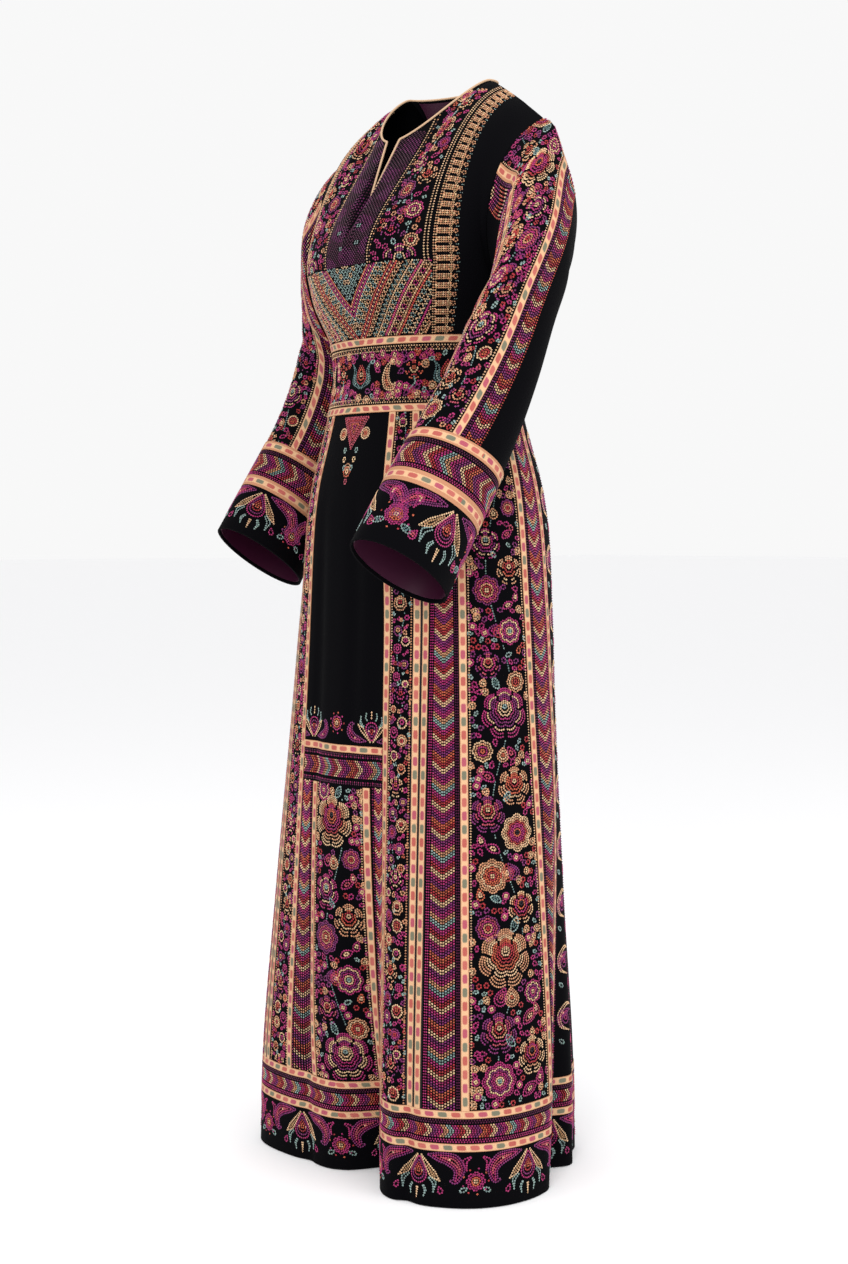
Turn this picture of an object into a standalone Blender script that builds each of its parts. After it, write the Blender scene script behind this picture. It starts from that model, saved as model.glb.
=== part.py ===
# A long embroidered dress of black velvet, worn shape with nobody in it, in metres.
# The front faces -Y, +X is the wearer's left and +Z is up. The origin is the middle of the
# neck opening, level with the tops of the shoulders, so the hem is LENGTH below it.

import math

import bmesh
import bpy
import numpy as np

LENGTH = 1.40  # neck point down to the hem
WALL = 0.0015  # velvet with its stitching
SEAM = 0.00034  # between pieces sewn edge to edge
ARMHOLE_SEAM = 0.00082  # between a sleeve and the bodice
RAISED = 0.0008  # how far a ribbon stands out from the velvet
RIBBON = 0.0095  # width of a ribbon
PAIR = 0.0215  # two ribbons with a crease between them

HEM_TOP = 0.118  # heights above the hem
HEM_RIBBON = 0.078
FRONT_BAND_TOP = 0.552
FRONT_BAND_BOTTOM = 0.500
BELT_BOTTOM = 0.972
BELT_TOP = 1.067
CHEST_SEAM = 1.157
ARMPIT = 1.120
NECK_FRONT = 1.322
SLIT_BOTTOM = 1.243
SLIT_HALF = 0.013
NECK_BACK = 1.403

NECK_X = 0.080  # where the shoulder seam meets the neck
NECK_Y = 0.043
SHOULDER_X = 0.198
SHOULDER_Y = 0.025
SHOULDER_HEIGHT = 1.332
NECK_FRONT_Y = -0.052
NECK_BACK_Y = 0.090
NECK_SHARE = 0.30  # share of a half front that ends at the neck
SLIT_SHARE = NECK_SHARE * math.asin(SLIT_HALF / NECK_X) / (math.pi / 2)
FRONT_NECK = [SLIT_SHARE, 0.08, 0.12, 0.16, 0.20, 0.235, 0.27, NECK_SHARE]  # places along the neck edge
BACK_NECK = [NECK_SHARE * i / 8 for i in range(9)]
COMB_INNER = 0.51  # shares at which the comb border runs down the front
COMB_OUTER = 0.67
BACK_PLACES = [0.0, 0.06, 0.13, 0.2, 0.27, 0.31]  # columns of the back, as shares from its side seam
FACING_TOP = 1.985  # where the neck facing starts and ends on the back
FACING_LOW = 1.86
PIPING_RADIUS = 0.0014
LINING_WALL = 0.001

# How the yoke leaves the chest seam and reaches its upper edge, as (outward, up) in metres,
# and the same at the armhole as (sideways, outward, up).
CHEST_START = (0.012, 0.045)
NECK_END = (0.030, -0.062)
SHOULDER_END = (0.075, -0.022)
ARMPIT_START = (-0.008, 0.050, 0.020)
FRONT_ARMHOLE_END = (-0.022, 0.095, -0.052)
BACK_ARMHOLE_END = (-0.022, 0.045, -0.070)
HEAD_OUTWARD = 0.040  # how a sleeve leaves the top of its armhole
HEAD_DROP = 0.016
HEAD_SIDE_DROP = 0.016
CHEST_WIDTH = 0.2  # metres to one share across the chest
CHEST_RISE = 0.17  # metres to one share up it

# Sections of the body, from the hem up: height above the hem, half width, depth in front of
# the middle and behind it, and how square the section is (2 is an ellipse).
SECTIONS = (
    (0.000, 0.224, 0.186, 0.206, 2.3),
    (0.120, 0.221, 0.184, 0.198, 2.3),
    (0.340, 0.210, 0.170, 0.178, 2.2),
    (0.600, 0.194, 0.150, 0.156, 2.1),
    (0.730, 0.185, 0.140, 0.150, 2.1),
    (0.874, 0.171, 0.133, 0.141, 2.0),
    (0.972, 0.146, 0.112, 0.115, 2.0),
    (1.020, 0.138, 0.104, 0.105, 2.0),
    (1.067, 0.143, 0.107, 0.107, 2.0),
    (1.120, 0.165, 0.125, 0.116, 2.1),
    (1.160, 0.176, 0.132, 0.119, 2.1),
)

# Folds of the skirt: angle from the front towards the wearer's left at the waist and at the
# hem, depth at the hem, half width, height where it starts, and the power of its growth. A
# depth below nought is a swell.
FOLDS = (
    (-6, -8, 0.036, 26, 0.80, 1.2),
    (24, 13, 0.084, 10, 0.84, 1.6),
    (41, 38, 0.008, 3.4, 0.93, 0.3),
    (64, 68, -0.022, 28, 0.70, 1.3),
    (116, 107, 0.066, 10, 0.64, 2.0),
    (132, 134, 0.030, 18, 0.86, 1.3),
    (168, 166, 0.030, 10, 0.80, 1.2),
    (-160, -158, 0.058, 12, 0.84, 1.4),
    (-112, -108, 0.052, 11, 0.84, 1.4),
    (-54, -50, -0.014, 16, 0.80, 0.9),
    (-14, -16, 0.005, 4, 0.92, 0.2),
    (9, 4, 0.005, 4, 0.92, 0.2),
)

# Ribbons that run down each side of the skirt: name, angle and width, and the name and number
# of columns of the panel behind each of them.
STRIPS = (
    ("ribbon_front", 24.5, RIBBON, "vine", 3),
    ("ribbon_pair", 40.6, PAIR, "chevron_front", 4),
    ("ribbon_side", 59.5, RIBBON, "floral", 7),
    ("ribbon_side_back", 94.0, RIBBON, "chevron_back", 4),
    ("ribbon_back", 112.0, RIBBON, None, 0),
)

# Sleeve sections below the armhole: x and height of the outer line and of the inner line, how
# far forward the middle is, half the depth, and how far a section leans forward in degrees.
LEFT_SLEEVE = (
    (0.237, 1.268, 0.188, 1.094, -0.003, 0.063, 4),
    (0.264, 1.190, 0.184, 1.070, 0.020, 0.060, 8),
    (0.267, 1.105, 0.174, 1.040, 0.048, 0.060, 14),
    (0.260, 1.030, 0.160, 0.998, 0.066, 0.060, 20),
    (0.250, 0.950, 0.147, 0.938, 0.096, 0.064, 26),
    (0.243, 0.876, 0.139, 0.870, 0.136, 0.068, 30),
    (0.239, 0.776, 0.134, 0.772, 0.196, 0.071, 33),
)
RIGHT_SLEEVE = (
    (0.235, 1.268, 0.188, 1.094, -0.026, 0.066, 0),
    (0.262, 1.190, 0.186, 1.070, -0.040, 0.068, 2),
    (0.270, 1.100, 0.180, 1.050, -0.044, 0.069, 8),
    (0.272, 1.020, 0.178, 1.000, -0.026, 0.069, 20),
    (0.274, 0.945, 0.180, 0.938, 0.006, 0.068, 30),
    (0.272, 0.872, 0.176, 0.868, 0.054, 0.068, 34),
    (0.262, 0.790, 0.163, 0.786, 0.114, 0.070, 34),
)
CUFF_EDGES = (0.80, 0.822, 0.885, 0.907, 1.0)  # shares of the sleeve at the cuff's seams
CUFF_LINING_FROM = 0.84
# Strips round the top of a sleeve: name, edges by angle from the outer line towards the front,
# and number of columns.
SLEEVE_STRIPS = (
    ("chevron_back", -56, -29, 2),
    ("ribbon_back", -29, -20, 1),
    ("floral", -20, 50, 5),
    ("ribbon_front", 50, 59, 1),
    ("chevron_front", 59, 87, 2),
    ("under", 87, 304, 13),
)
# How far the strips have turned towards the front, at shares of the way down each sleeve.
LEFT_TWIST = ((0.0, 0), (0.2, 4), (0.3, 18), (0.45, 37), (0.55, 47), (0.7, 58), (0.87, 66))
RIGHT_TWIST = ((0.0, 0), (0.2, 16), (0.4, 54), (0.55, 70), (0.7, 76), (0.87, 78))

SKIRT_ROWS = 12
HEM_COLUMNS = 64
BELT_COLUMNS = 36
BODICE_ROWS = 9
SLEEVE_ROWS = 11
CUFF_COLUMNS = 22

# Colours, roughness: the velvet, the ribbons and the satin that lines the openings.
FINISHES = {
    "velvet": ((0.012, 0.011, 0.014), 0.85),
    "embroidery": ((0.24, 0.10, 0.12), 0.70),
    "ribbon": ((0.85, 0.62, 0.42), 0.45),
    "satin": ((0.16, 0.03, 0.10), 0.35),
}


def clear_scene():
    for old in list(bpy.data.objects):
        bpy.data.objects.remove(old, do_unlink=True)


def material(finish):
    """The material of this finish, made once."""
    if finish in bpy.data.materials:
        return bpy.data.materials[finish]
    made = bpy.data.materials.new(finish)
    made.use_nodes = True
    shader = made.node_tree.nodes["Principled BSDF"]
    colour, roughness = FINISHES[finish]
    shader.inputs["Base Color"].default_value = (*colour, 1.0)
    shader.inputs["Roughness"].default_value = roughness
    shader.inputs["Metallic"].default_value = 0.0
    return made


def smooth(share):
    share = min(max(share, 0.0), 1.0)
    return share * share * (3 - 2 * share)


def smooth_table(rows, at):
    """Every column of a table whose first column is rising, read at one place along a cubic."""
    table = np.array(rows, float)
    places = table[:, 0]
    at = min(max(at, places[0]), places[-1])
    i = min(int(np.searchsorted(places, at, side="right")) - 1, len(places) - 2)
    slopes = np.gradient(table, places, axis=0)
    step = places[i + 1] - places[i]
    t = (at - places[i]) / step
    start = (1 + 2 * t) * (1 - t) ** 2 * table[i] + t * (1 - t) ** 2 * step * slopes[i]
    end = t * t * (3 - 2 * t) * table[i + 1] + t * t * (t - 1) * step * slopes[i + 1]
    return start + end


def section_point(angle, height):
    """x and y of a point of the body without its folds."""
    _, half_width, front, back, square = smooth_table(SECTIONS, height)
    across, along = math.sin(angle), math.cos(angle)
    depth = front if along > 0 else back
    power = 2 / square
    x = half_width * math.copysign(abs(across) ** power, across)
    y = -depth * math.copysign(abs(along) ** power, along)
    return x, y


def fold_depth(angle, height):
    """How far the folds pull the skirt in at this place."""
    depth = 0.0
    for top_angle, hem_angle, full, half_angle, start, growth in FOLDS:
        down = (start - height) / start
        if down <= 0:
            continue
        middle = math.radians(top_angle + (hem_angle - top_angle) * down)
        away = (angle - middle + math.pi) % (2 * math.pi) - math.pi
        depth += full * down**growth * smooth(down * 6) * math.exp(-((away / math.radians(half_angle)) ** 2))
    return depth


def body(angle, height):
    """The outer face of the skirt, the belt and the lower bodice."""
    x, y = section_point(angle, height)
    reach = math.hypot(x, y)
    pulled = 1 - fold_depth(angle, height) / reach
    return np.array((x * pulled, y * pulled, height - LENGTH))


def curve(p0, p1, p2, p3, t):
    return (1 - t) ** 3 * p0 + 3 * t * (1 - t) ** 2 * p1 + 3 * t * t * (1 - t) * p2 + t**3 * p3


def top_edge(share, side):
    """The neck edge and then the shoulder seam. side is -1 for the front and 1 for the back."""
    away = abs(share)
    if away >= NECK_SHARE:
        out = (away - NECK_SHARE) / (1 - NECK_SHARE)
        x = NECK_X + (SHOULDER_X - NECK_X) * out
        y = NECK_Y + (SHOULDER_Y - NECK_Y) * out + side * SEAM / 2
        height = LENGTH + (SHOULDER_HEIGHT - LENGTH) * out**1.15
        return np.array((math.copysign(x, share), y, height - LENGTH))
    turn = math.pi / 2 * away / NECK_SHARE
    x = NECK_X * math.sin(turn)
    if side > 0:
        y = NECK_Y + (NECK_BACK_Y - NECK_Y) * math.cos(turn) + SEAM / 2
        height = LENGTH + (NECK_BACK - LENGTH) * math.cos(turn)
    else:
        y = NECK_Y - (NECK_Y - NECK_FRONT_Y) * math.cos(turn) - SEAM / 2
        height = LENGTH - (LENGTH - NECK_FRONT) * math.cos(turn) ** 1.4
        if x < SLIT_HALF:
            low = 1 - x / SLIT_HALF
            height -= (NECK_FRONT - SLIT_BOTTOM) * low
            y -= 0.037 * low
    return np.array((math.copysign(x, share), y, height - LENGTH))


def yoke(share, rise, side):
    """The bodice from the chest seam (rise 0) to the neck and shoulders (rise 1)."""
    away = abs(share)
    outward = math.copysign(1, share)
    to_side = smooth((away - COMB_OUTER) / (1 - COMB_OUTER))
    height = CHEST_SEAM + (ARMPIT - CHEST_SEAM) * to_side
    angle = math.pi / 2 * share if side < 0 else math.pi - math.pi / 2 * share
    low = body(angle, height)
    high = top_edge(share, side)
    over = smooth((away - NECK_SHARE * 0.5) / (NECK_SHARE * 0.7))
    faced = np.array((outward, side, 1.0))
    plain_start = faced * (0.0, *CHEST_START)
    plain_end = faced * (np.array((0.0, *NECK_END)) * (1 - over) + np.array((0.0, *SHOULDER_END)) * over)
    hole = to_side**1.5
    start = low + plain_start * (1 - hole) + faced * ARMPIT_START * hole
    end = high + plain_end * (1 - hole) + faced * (FRONT_ARMHOLE_END if side < 0 else BACK_ARMHOLE_END) * hole
    return curve(low, start, end, high, rise)


def armhole(turn, mirror):
    """The armhole edge: turn 0 at the shoulder, a quarter at the front, a half at the armpit."""
    turn = turn % (2 * math.pi)
    if turn <= math.pi:
        return yoke(mirror, 1 - turn / math.pi, -1)
    return yoke(mirror, turn / math.pi - 1, 1)


def sleeve_section(rows, along, turn, mirror):
    """A point of the sleeve's regular part at this row number, which may be between rows."""
    numbered = [(i, *row) for i, row in enumerate(rows)]
    _, outer_x, outer_z, inner_x, inner_z, forward, half_depth, lean = smooth_table(numbered, along)
    outer = np.array((outer_x * mirror, -forward, outer_z - LENGTH))
    inner = np.array((inner_x * mirror, -forward, inner_z - LENGTH))
    tilt = math.radians(lean)
    front = np.array((0, -math.cos(tilt), math.sin(tilt))) * half_depth
    return (outer + inner) / 2 + (outer - inner) / 2 * math.cos(turn) + front * math.sin(turn)


def sleeve(rows, mirror):
    """A function of turn and of the share of the way down, for the sleeve's outer face."""
    head = 0.22

    def point(turn, along):
        row = max(along - head, 0) / (1 - head) * (len(rows) - 1)
        regular = sleeve_section(rows, row, turn, mirror)
        if along >= head:
            return regular
        t = along / head
        edge = armhole(turn, mirror)
        below = sleeve_section(rows, 0.02, turn, mirror)
        outward = HEAD_OUTWARD * mirror * (0.55 + 0.45 * math.cos(turn))
        leave = np.array((outward, 0, -HEAD_DROP - HEAD_SIDE_DROP * math.sin(turn) ** 2))
        arrive = (regular - below) / 0.02 * 0.35
        gap = np.array((ARMHOLE_SEAM * mirror, 0, 0))
        return curve(edge + gap, edge + gap + leave, regular + arrive, regular, t)

    return point


def normal_at(surface, u, v, flip):
    step = 1e-3
    across = surface(u + step, v) - surface(u - step, v)
    down = surface(u, v + step) - surface(u, v - step)
    out = np.cross(across, down) * flip
    return out / np.linalg.norm(out)


def sheet(
    name, finish, surface, left, right, rows, columns, flip=1, low=-WALL, high=0.0, seams=(1, 1), ring=False, facing=None
):
    """A closed wall over part of a surface, between offsets low and high from it. left and
    right give its edges at each row, columns is their number or their shares of the width,
    seams says which row ends stop short, and facing gives the direction of its thickness
    where that isn't simply the surface's own."""
    shares = columns if isinstance(columns, list) else steps(0.0, 1.0, columns)
    grid = []
    for i, v in enumerate(rows):
        last = len(rows) - 1
        inward = (seams[0] if i == 0 else 0) - (seams[1] if i == last else 0)
        line = []
        start, end = left(v), right(v)
        for j, share in enumerate(shares[:-1] if ring else shares):
            u = start + (end - start) * share
            speed = np.linalg.norm(surface(u + 1e-3, v) - surface(u - 1e-3, v)) / 2e-3
            if not ring and j in (0, len(shares) - 1):
                u += SEAM / 2 / speed * (1 if j == 0 else -1) * (1 if end > start else -1)
            place = v
            if inward:
                rate = np.linalg.norm(surface(u, v + 1e-3) - surface(u, v - 1e-3)) / 2e-3
                place = v + inward * SEAM / 2 / rate * (1 if rows[-1] > rows[0] else -1)
            out = facing(u, place) if facing else normal_at(surface, u, place, flip)
            line.append((surface(u, place), out))
        grid.append(line)
    return wall(name, finish, grid, low, high, ring)


def wall(name, finish, grid, low, high, ring):
    """One object from a grid of points and normals: its outer face, inner face and edges."""
    mesh = bmesh.new()
    outer = [[mesh.verts.new(p + n * high) for p, n in line] for line in grid]
    inner = [[mesh.verts.new(p + n * low) for p, n in line] for line in grid]
    rows, columns = len(grid), len(grid[0])
    pairs = columns if ring else columns - 1
    for i in range(rows - 1):
        for j in range(pairs):
            k = (j + 1) % columns
            mesh.faces.new((outer[i][j], outer[i][k], outer[i + 1][k], outer[i + 1][j]))
            mesh.faces.new((inner[i][j], inner[i + 1][j], inner[i + 1][k], inner[i][k]))
    # Edge faces are split along the same diagonal on both sides of a seam, so they stay apart.
    for i in (0, rows - 1):
        for j in range(pairs):
            k = (j + 1) % columns
            mesh.faces.new((outer[i][j], inner[i][j], inner[i][k]))
            mesh.faces.new((outer[i][j], inner[i][k], outer[i][k]))
    if not ring:
        for j in (0, columns - 1):
            for i in range(rows - 1):
                mesh.faces.new((outer[i][j], inner[i][j], inner[i + 1][j]))
                mesh.faces.new((outer[i][j], inner[i + 1][j], outer[i + 1][j]))
    bmesh.ops.recalc_face_normals(mesh, faces=mesh.faces)
    if mesh.calc_volume(signed=True) < 0:
        bmesh.ops.reverse_faces(mesh, faces=mesh.faces)
    data = bpy.data.meshes.new(name)
    mesh.to_mesh(data)
    mesh.free()
    data.materials.append(material(finish))
    data.shade_smooth()
    data.set_sharp_from_angle(angle=math.radians(40))
    made = bpy.data.objects.new(name, data)
    bpy.context.scene.collection.objects.link(made)
    return made


def fixed(value):
    return lambda v: value


def steps(start, end, count):
    return [start + (end - start) * i / count for i in range(count + 1)]


def strip_edge(degrees, width, edge):
    """The edge of a ribbon down the skirt, whose width stays the same as the skirt widens."""
    middle = math.radians(degrees)

    def angle(height):
        before = section_point(middle - 0.02, height)
        after = section_point(middle + 0.02, height)
        speed = math.dist(before, after) / 0.04
        return middle + edge * width / 2 / speed

    return angle


def make_skirt():
    down = steps(BELT_BOTTOM, HEM_TOP, SKIRT_ROWS)
    for side, word in ((1, "left"), (-1, "right")):
        for i, (ribbon, angle, width, panel, columns) in enumerate(STRIPS):
            near = strip_edge(side * angle, width, -side)
            far = strip_edge(side * angle, width, side)
            count = 3 if width == PAIR else 1
            sheet(f"skirt_{ribbon}_{word}", "ribbon", body, near, far, down, count, high=RAISED)
            if panel:
                _, next_angle, next_width, _, _ = STRIPS[i + 1]
                end = strip_edge(side * next_angle, next_width, -side)
                sheet(f"skirt_{panel}_{word}", "embroidery", body, far, end, down, columns)
    front_left = strip_edge(STRIPS[0][1], RIBBON, -1)
    front_right = strip_edge(-STRIPS[0][1], RIBBON, 1)
    parts = (
        ("skirt_front", "velvet", steps(BELT_BOTTOM, FRONT_BAND_TOP, 6)),
        ("skirt_front_band", "embroidery", steps(FRONT_BAND_TOP, FRONT_BAND_BOTTOM, 1)),
        ("skirt_front_lower", "embroidery", steps(FRONT_BAND_BOTTOM, HEM_TOP, 6)),
    )
    for name, finish, rows in parts:
        sheet(name, finish, body, front_right, front_left, rows, 11)
    back_left = strip_edge(STRIPS[-1][1], RIBBON, 1)

    def back_right(height):
        return 2 * math.pi + strip_edge(-STRIPS[-1][1], RIBBON, -1)(height)

    sheet("skirt_back", "velvet", body, back_left, back_right, down, 18)


def make_rings():
    """The hem bands and the belt, which go all round."""
    ribbon_top = HEM_TOP - RIBBON
    ribbon_low = HEM_RIBBON - RIBBON
    rings = (
        ("hem_ribbon_upper", "ribbon", (HEM_TOP, ribbon_top), HEM_COLUMNS, RAISED, (1, 1)),
        ("hem_chevron_band", "embroidery", (ribbon_top, HEM_RIBBON), HEM_COLUMNS, 0.0, (1, 1)),
        ("hem_ribbon_lower", "ribbon", (HEM_RIBBON, ribbon_low), HEM_COLUMNS, RAISED, (1, 1)),
        ("hem_border", "embroidery", (ribbon_low, ribbon_low / 2, 0.0), HEM_COLUMNS, 0.0, (1, 0)),
        ("belt_ribbon_upper", "ribbon", (BELT_TOP, BELT_TOP - RIBBON), BELT_COLUMNS, 2 * RAISED, (1, 1)),
        (
            "belt_band",
            "embroidery",
            steps(BELT_TOP - RIBBON, BELT_BOTTOM + RIBBON, 2),
            BELT_COLUMNS,
            RAISED,
            (1, 1),
        ),
        ("belt_ribbon_lower", "ribbon", (BELT_BOTTOM + RIBBON, BELT_BOTTOM), BELT_COLUMNS, 2 * RAISED, (1, 1)),
    )
    for name, finish, rows, columns, high, seams in rings:
        sheet(name, finish, body, fixed(0.0), fixed(2 * math.pi), rows, columns, high=high, seams=seams, ring=True)


def bodice(side):
    """The front or back of the bodice as one surface: share across, and height in two halves,
    0 to 1 from the belt to the chest seam and 1 to 2 from there to the neck and shoulders."""

    def point(share, up):
        if up >= 1:
            return yoke(share, up - 1, side)
        to_side = smooth((abs(share) - COMB_OUTER) / (1 - COMB_OUTER))
        top = CHEST_SEAM + (ARMPIT - CHEST_SEAM) * to_side
        angle = math.pi / 2 * share if side < 0 else math.pi - math.pi / 2 * share
        return body(angle, BELT_TOP + (top - BELT_TOP) * up)

    return point


def bodice_facing(side):
    """The thickness direction of the front or back, which the two share along the shoulder
    and side seams, so that their edges meet face to face."""

    def out(share, up):
        own = normal_at(bodice(side), share, up, -side)
        on_shoulder = up > 1.99 and abs(share) >= NECK_SHARE
        on_side = up < 1.01 and abs(share) > 0.98
        if on_shoulder or on_side:
            own = own + normal_at(bodice(-side), share, up, side)
        return own / np.linalg.norm(own)

    return out


def make_bodice():
    front, back = bodice(-1), bodice(1)
    front_out, back_out = bodice_facing(-1), bodice_facing(1)
    lower, upper = steps(1.0, 0.0, 2), steps(2.0, 1.0, BODICE_ROWS)
    whole = upper + lower[1:]
    inner, outer = COMB_INNER, COMB_OUTER
    chest(front, front_out, upper, inner)
    sheet("under_bust_panel", "embroidery", front, fixed(-inner), fixed(inner), lower, 10)
    split = {"seams": (1, 1), "facing": front_out}
    for side, word in ((1, "left"), (-1, "right")):
        edges = sorted((side * inner, side * outer))
        sheet(f"comb_border_{word}", "embroidery", front, fixed(edges[0]), fixed(edges[1]), whole, 2, **split)
        edges = sorted((side * outer, side * 1.0))
        sheet(f"bodice_side_{word}", "velvet", front, fixed(edges[0]), fixed(edges[1]), whole, 4, **split)
    neck = [(1 - share) / 2 for share in steps(NECK_SHARE, -NECK_SHARE, 16)]
    across = BACK_PLACES + neck + [1 - share for share in reversed(BACK_PLACES)]
    sheet("bodice_back", "velvet", back, fixed(1.0), fixed(-1.0), whole, across, facing=back_out)
    depth = -WALL - 3 * SEAM
    rows = [FACING_TOP, upper[1], FACING_LOW]
    edge = neck[1:-1]
    left, right = fixed(1 - 2 * edge[0]), fixed(1 - 2 * edge[-1])
    within = [(share - edge[0]) / (edge[-1] - edge[0]) for share in edge]
    low = depth - LINING_WALL
    sheet("neck_facing", "satin", back, left, right, rows, within, flip=-1, low=low, high=depth, seams=(0, 0))


def chest(front, facing, upper, inner):
    """The chest panel, whose middle column ends at the bottom of the neck slit."""
    half = FRONT_NECK + [0.37, 0.44, inner]
    shares = [-share for share in reversed(half)] + [0.0] + half
    grid = []
    for i, up in enumerate(upper):
        line = []
        for j, share in enumerate(shares):
            u, v = share, up
            if j in (0, len(shares) - 1):
                u -= math.copysign(SEAM / 2 / CHEST_WIDTH, share)
            if i == 0:
                v -= SEAM / 2 / CHEST_RISE
            if i == len(upper) - 1:
                v += SEAM / 2 / CHEST_RISE
            # The surface has no clear direction at the neck edge itself, so it is read just off it.
            off_edge = v if abs(u) >= NECK_SHARE else min(v, 1.97)
            line.append((front(u, v), facing(u + 1e-4, off_edge)))
        grid.append(line)
    wall("chest_panel", "embroidery", grid, -WALL, 0.0, False)


def make_piping():
    """A thin cord round the neck edge and down both sides of the slit."""
    near = [SLIT_SHARE * 0.45] + FRONT_NECK
    path = [(top_edge(share, -1), -1, share) for share in near]
    path += [(top_edge(share, 1), 1, share) for share in reversed(BACK_NECK[:-1])]
    path += [(top_edge(-share, 1), 1, -share) for share in BACK_NECK[1:-1]]
    path += [(top_edge(-share, -1), -1, -share) for share in reversed(near)]
    points = []
    for i, (point, side, share) in enumerate(path):
        along = path[min(i + 1, len(path) - 1)][0] - path[max(i - 1, 0)][0]
        along /= np.linalg.norm(along)
        off = point - yoke(share, 0.94, side)
        off = off - along * off.dot(along)
        if side < 0 and abs(share) < SLIT_SHARE * 1.01:
            off = np.array((-math.copysign(1, share), 0, 0.2))
        points.append(point + off / np.linalg.norm(off) * (PIPING_RADIUS + 3 * SEAM))
    tube("neck_piping", "ribbon", points, PIPING_RADIUS, 6)


def tube(name, finish, points, radius, sides):
    """A round cord along these points, capped at both ends."""
    mesh = bmesh.new()
    rings = []
    side = np.array((1.0, 0.0, 0.0))
    for i, point in enumerate(points):
        along = points[min(i + 1, len(points) - 1)] - points[max(i - 1, 0)]
        along /= np.linalg.norm(along)
        side = side - along * side.dot(along)
        side /= np.linalg.norm(side)
        other = np.cross(along, side)
        turns = [2 * math.pi * k / sides for k in range(sides)]
        rings.append([mesh.verts.new(point + radius * (side * math.cos(t) + other * math.sin(t))) for t in turns])
    for before, after in zip(rings, rings[1:]):
        for k in range(sides):
            m = (k + 1) % sides
            mesh.faces.new((before[k], before[m], after[m], after[k]))
    mesh.faces.new(rings[0][::-1])
    mesh.faces.new(rings[-1])
    bmesh.ops.recalc_face_normals(mesh, faces=mesh.faces)
    data = bpy.data.meshes.new(name)
    mesh.to_mesh(data)
    mesh.free()
    data.materials.append(material(finish))
    data.shade_smooth()
    made = bpy.data.objects.new(name, data)
    bpy.context.scene.collection.objects.link(made)
    return made


def twisted(degrees, twist):
    """The edge of a strip that turns as it runs down a sleeve."""
    return lambda along: math.radians(degrees + smooth_table(twist, along)[1])


def make_sleeve(word, rows, twist, mirror):
    surface = sleeve(rows, mirror)

    def out(turn, along):
        """Along the armhole the wall's thickness stays in the plane of the seam."""
        own = normal_at(surface, turn, max(along, 0.002), mirror)
        own[0] *= smooth(along / 0.16)
        return own / np.linalg.norm(own)

    down = steps(0.0, CUFF_EDGES[0], SLEEVE_ROWS)
    for name, start, end, columns in SLEEVE_STRIPS:
        finish, high = "embroidery", 0.0
        if name.startswith("ribbon"):
            finish, high = "ribbon", RAISED / 2
        if name == "under":
            finish = "velvet"
        left, right = twisted(start, twist), twisted(end, twist)
        sheet(f"sleeve_{word}_{name}", finish, surface, left, right, down, columns, facing=out, high=high, seams=(0, 1))
    ribbon_top, band_top, ribbon_low, border_top, end = CUFF_EDGES
    rings = (
        ("ribbon_upper", "ribbon", (ribbon_top, band_top), 2 * RAISED, (1, 1)),
        ("chevron_band", "embroidery", (band_top, ribbon_low), RAISED, (1, 1)),
        ("ribbon_lower", "ribbon", (ribbon_low, border_top), 2 * RAISED, (1, 1)),
        ("border", "embroidery", (border_top, end), RAISED, (1, 0)),
    )
    full = fixed(2 * math.pi)
    for name, finish, places, high, seams in rings:
        sheet(
            f"cuff_{word}_{name}",
            finish,
            surface,
            fixed(0.0),
            full,
            places,
            CUFF_COLUMNS,
            flip=mirror,
            high=high,
            seams=seams,
            ring=True,
        )
    depth = -WALL - 2 * SEAM
    places = (CUFF_LINING_FROM, 0.92, 0.995)
    sheet(
        f"cuff_{word}_lining",
        "satin",
        surface,
        fixed(0.0),
        full,
        places,
        CUFF_COLUMNS,
        flip=mirror,
        low=depth - LINING_WALL,
        high=depth,
        seams=(0, 0),
        ring=True,
    )


clear_scene()
make_skirt()
make_rings()
make_bodice()
make_piping()
make_sleeve("left", LEFT_SLEEVE, LEFT_TWIST, 1)
make_sleeve("right", RIGHT_SLEEVE, RIGHT_TWIST, -1)
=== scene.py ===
import math

import bpy
import numpy as np
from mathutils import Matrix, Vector


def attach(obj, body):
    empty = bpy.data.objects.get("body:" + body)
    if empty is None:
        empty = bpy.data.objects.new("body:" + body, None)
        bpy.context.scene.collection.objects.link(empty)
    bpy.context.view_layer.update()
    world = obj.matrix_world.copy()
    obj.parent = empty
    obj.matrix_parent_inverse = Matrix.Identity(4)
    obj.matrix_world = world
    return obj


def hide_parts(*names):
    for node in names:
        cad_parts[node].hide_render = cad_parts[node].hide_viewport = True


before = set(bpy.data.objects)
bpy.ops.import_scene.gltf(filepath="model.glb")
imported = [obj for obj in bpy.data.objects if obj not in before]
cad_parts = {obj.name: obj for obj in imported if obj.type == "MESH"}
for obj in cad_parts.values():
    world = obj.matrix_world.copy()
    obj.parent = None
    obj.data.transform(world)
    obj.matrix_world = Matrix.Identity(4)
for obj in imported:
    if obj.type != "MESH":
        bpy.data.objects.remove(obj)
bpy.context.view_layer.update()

print("frame loaded:", len(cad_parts), "nodes")

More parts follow.
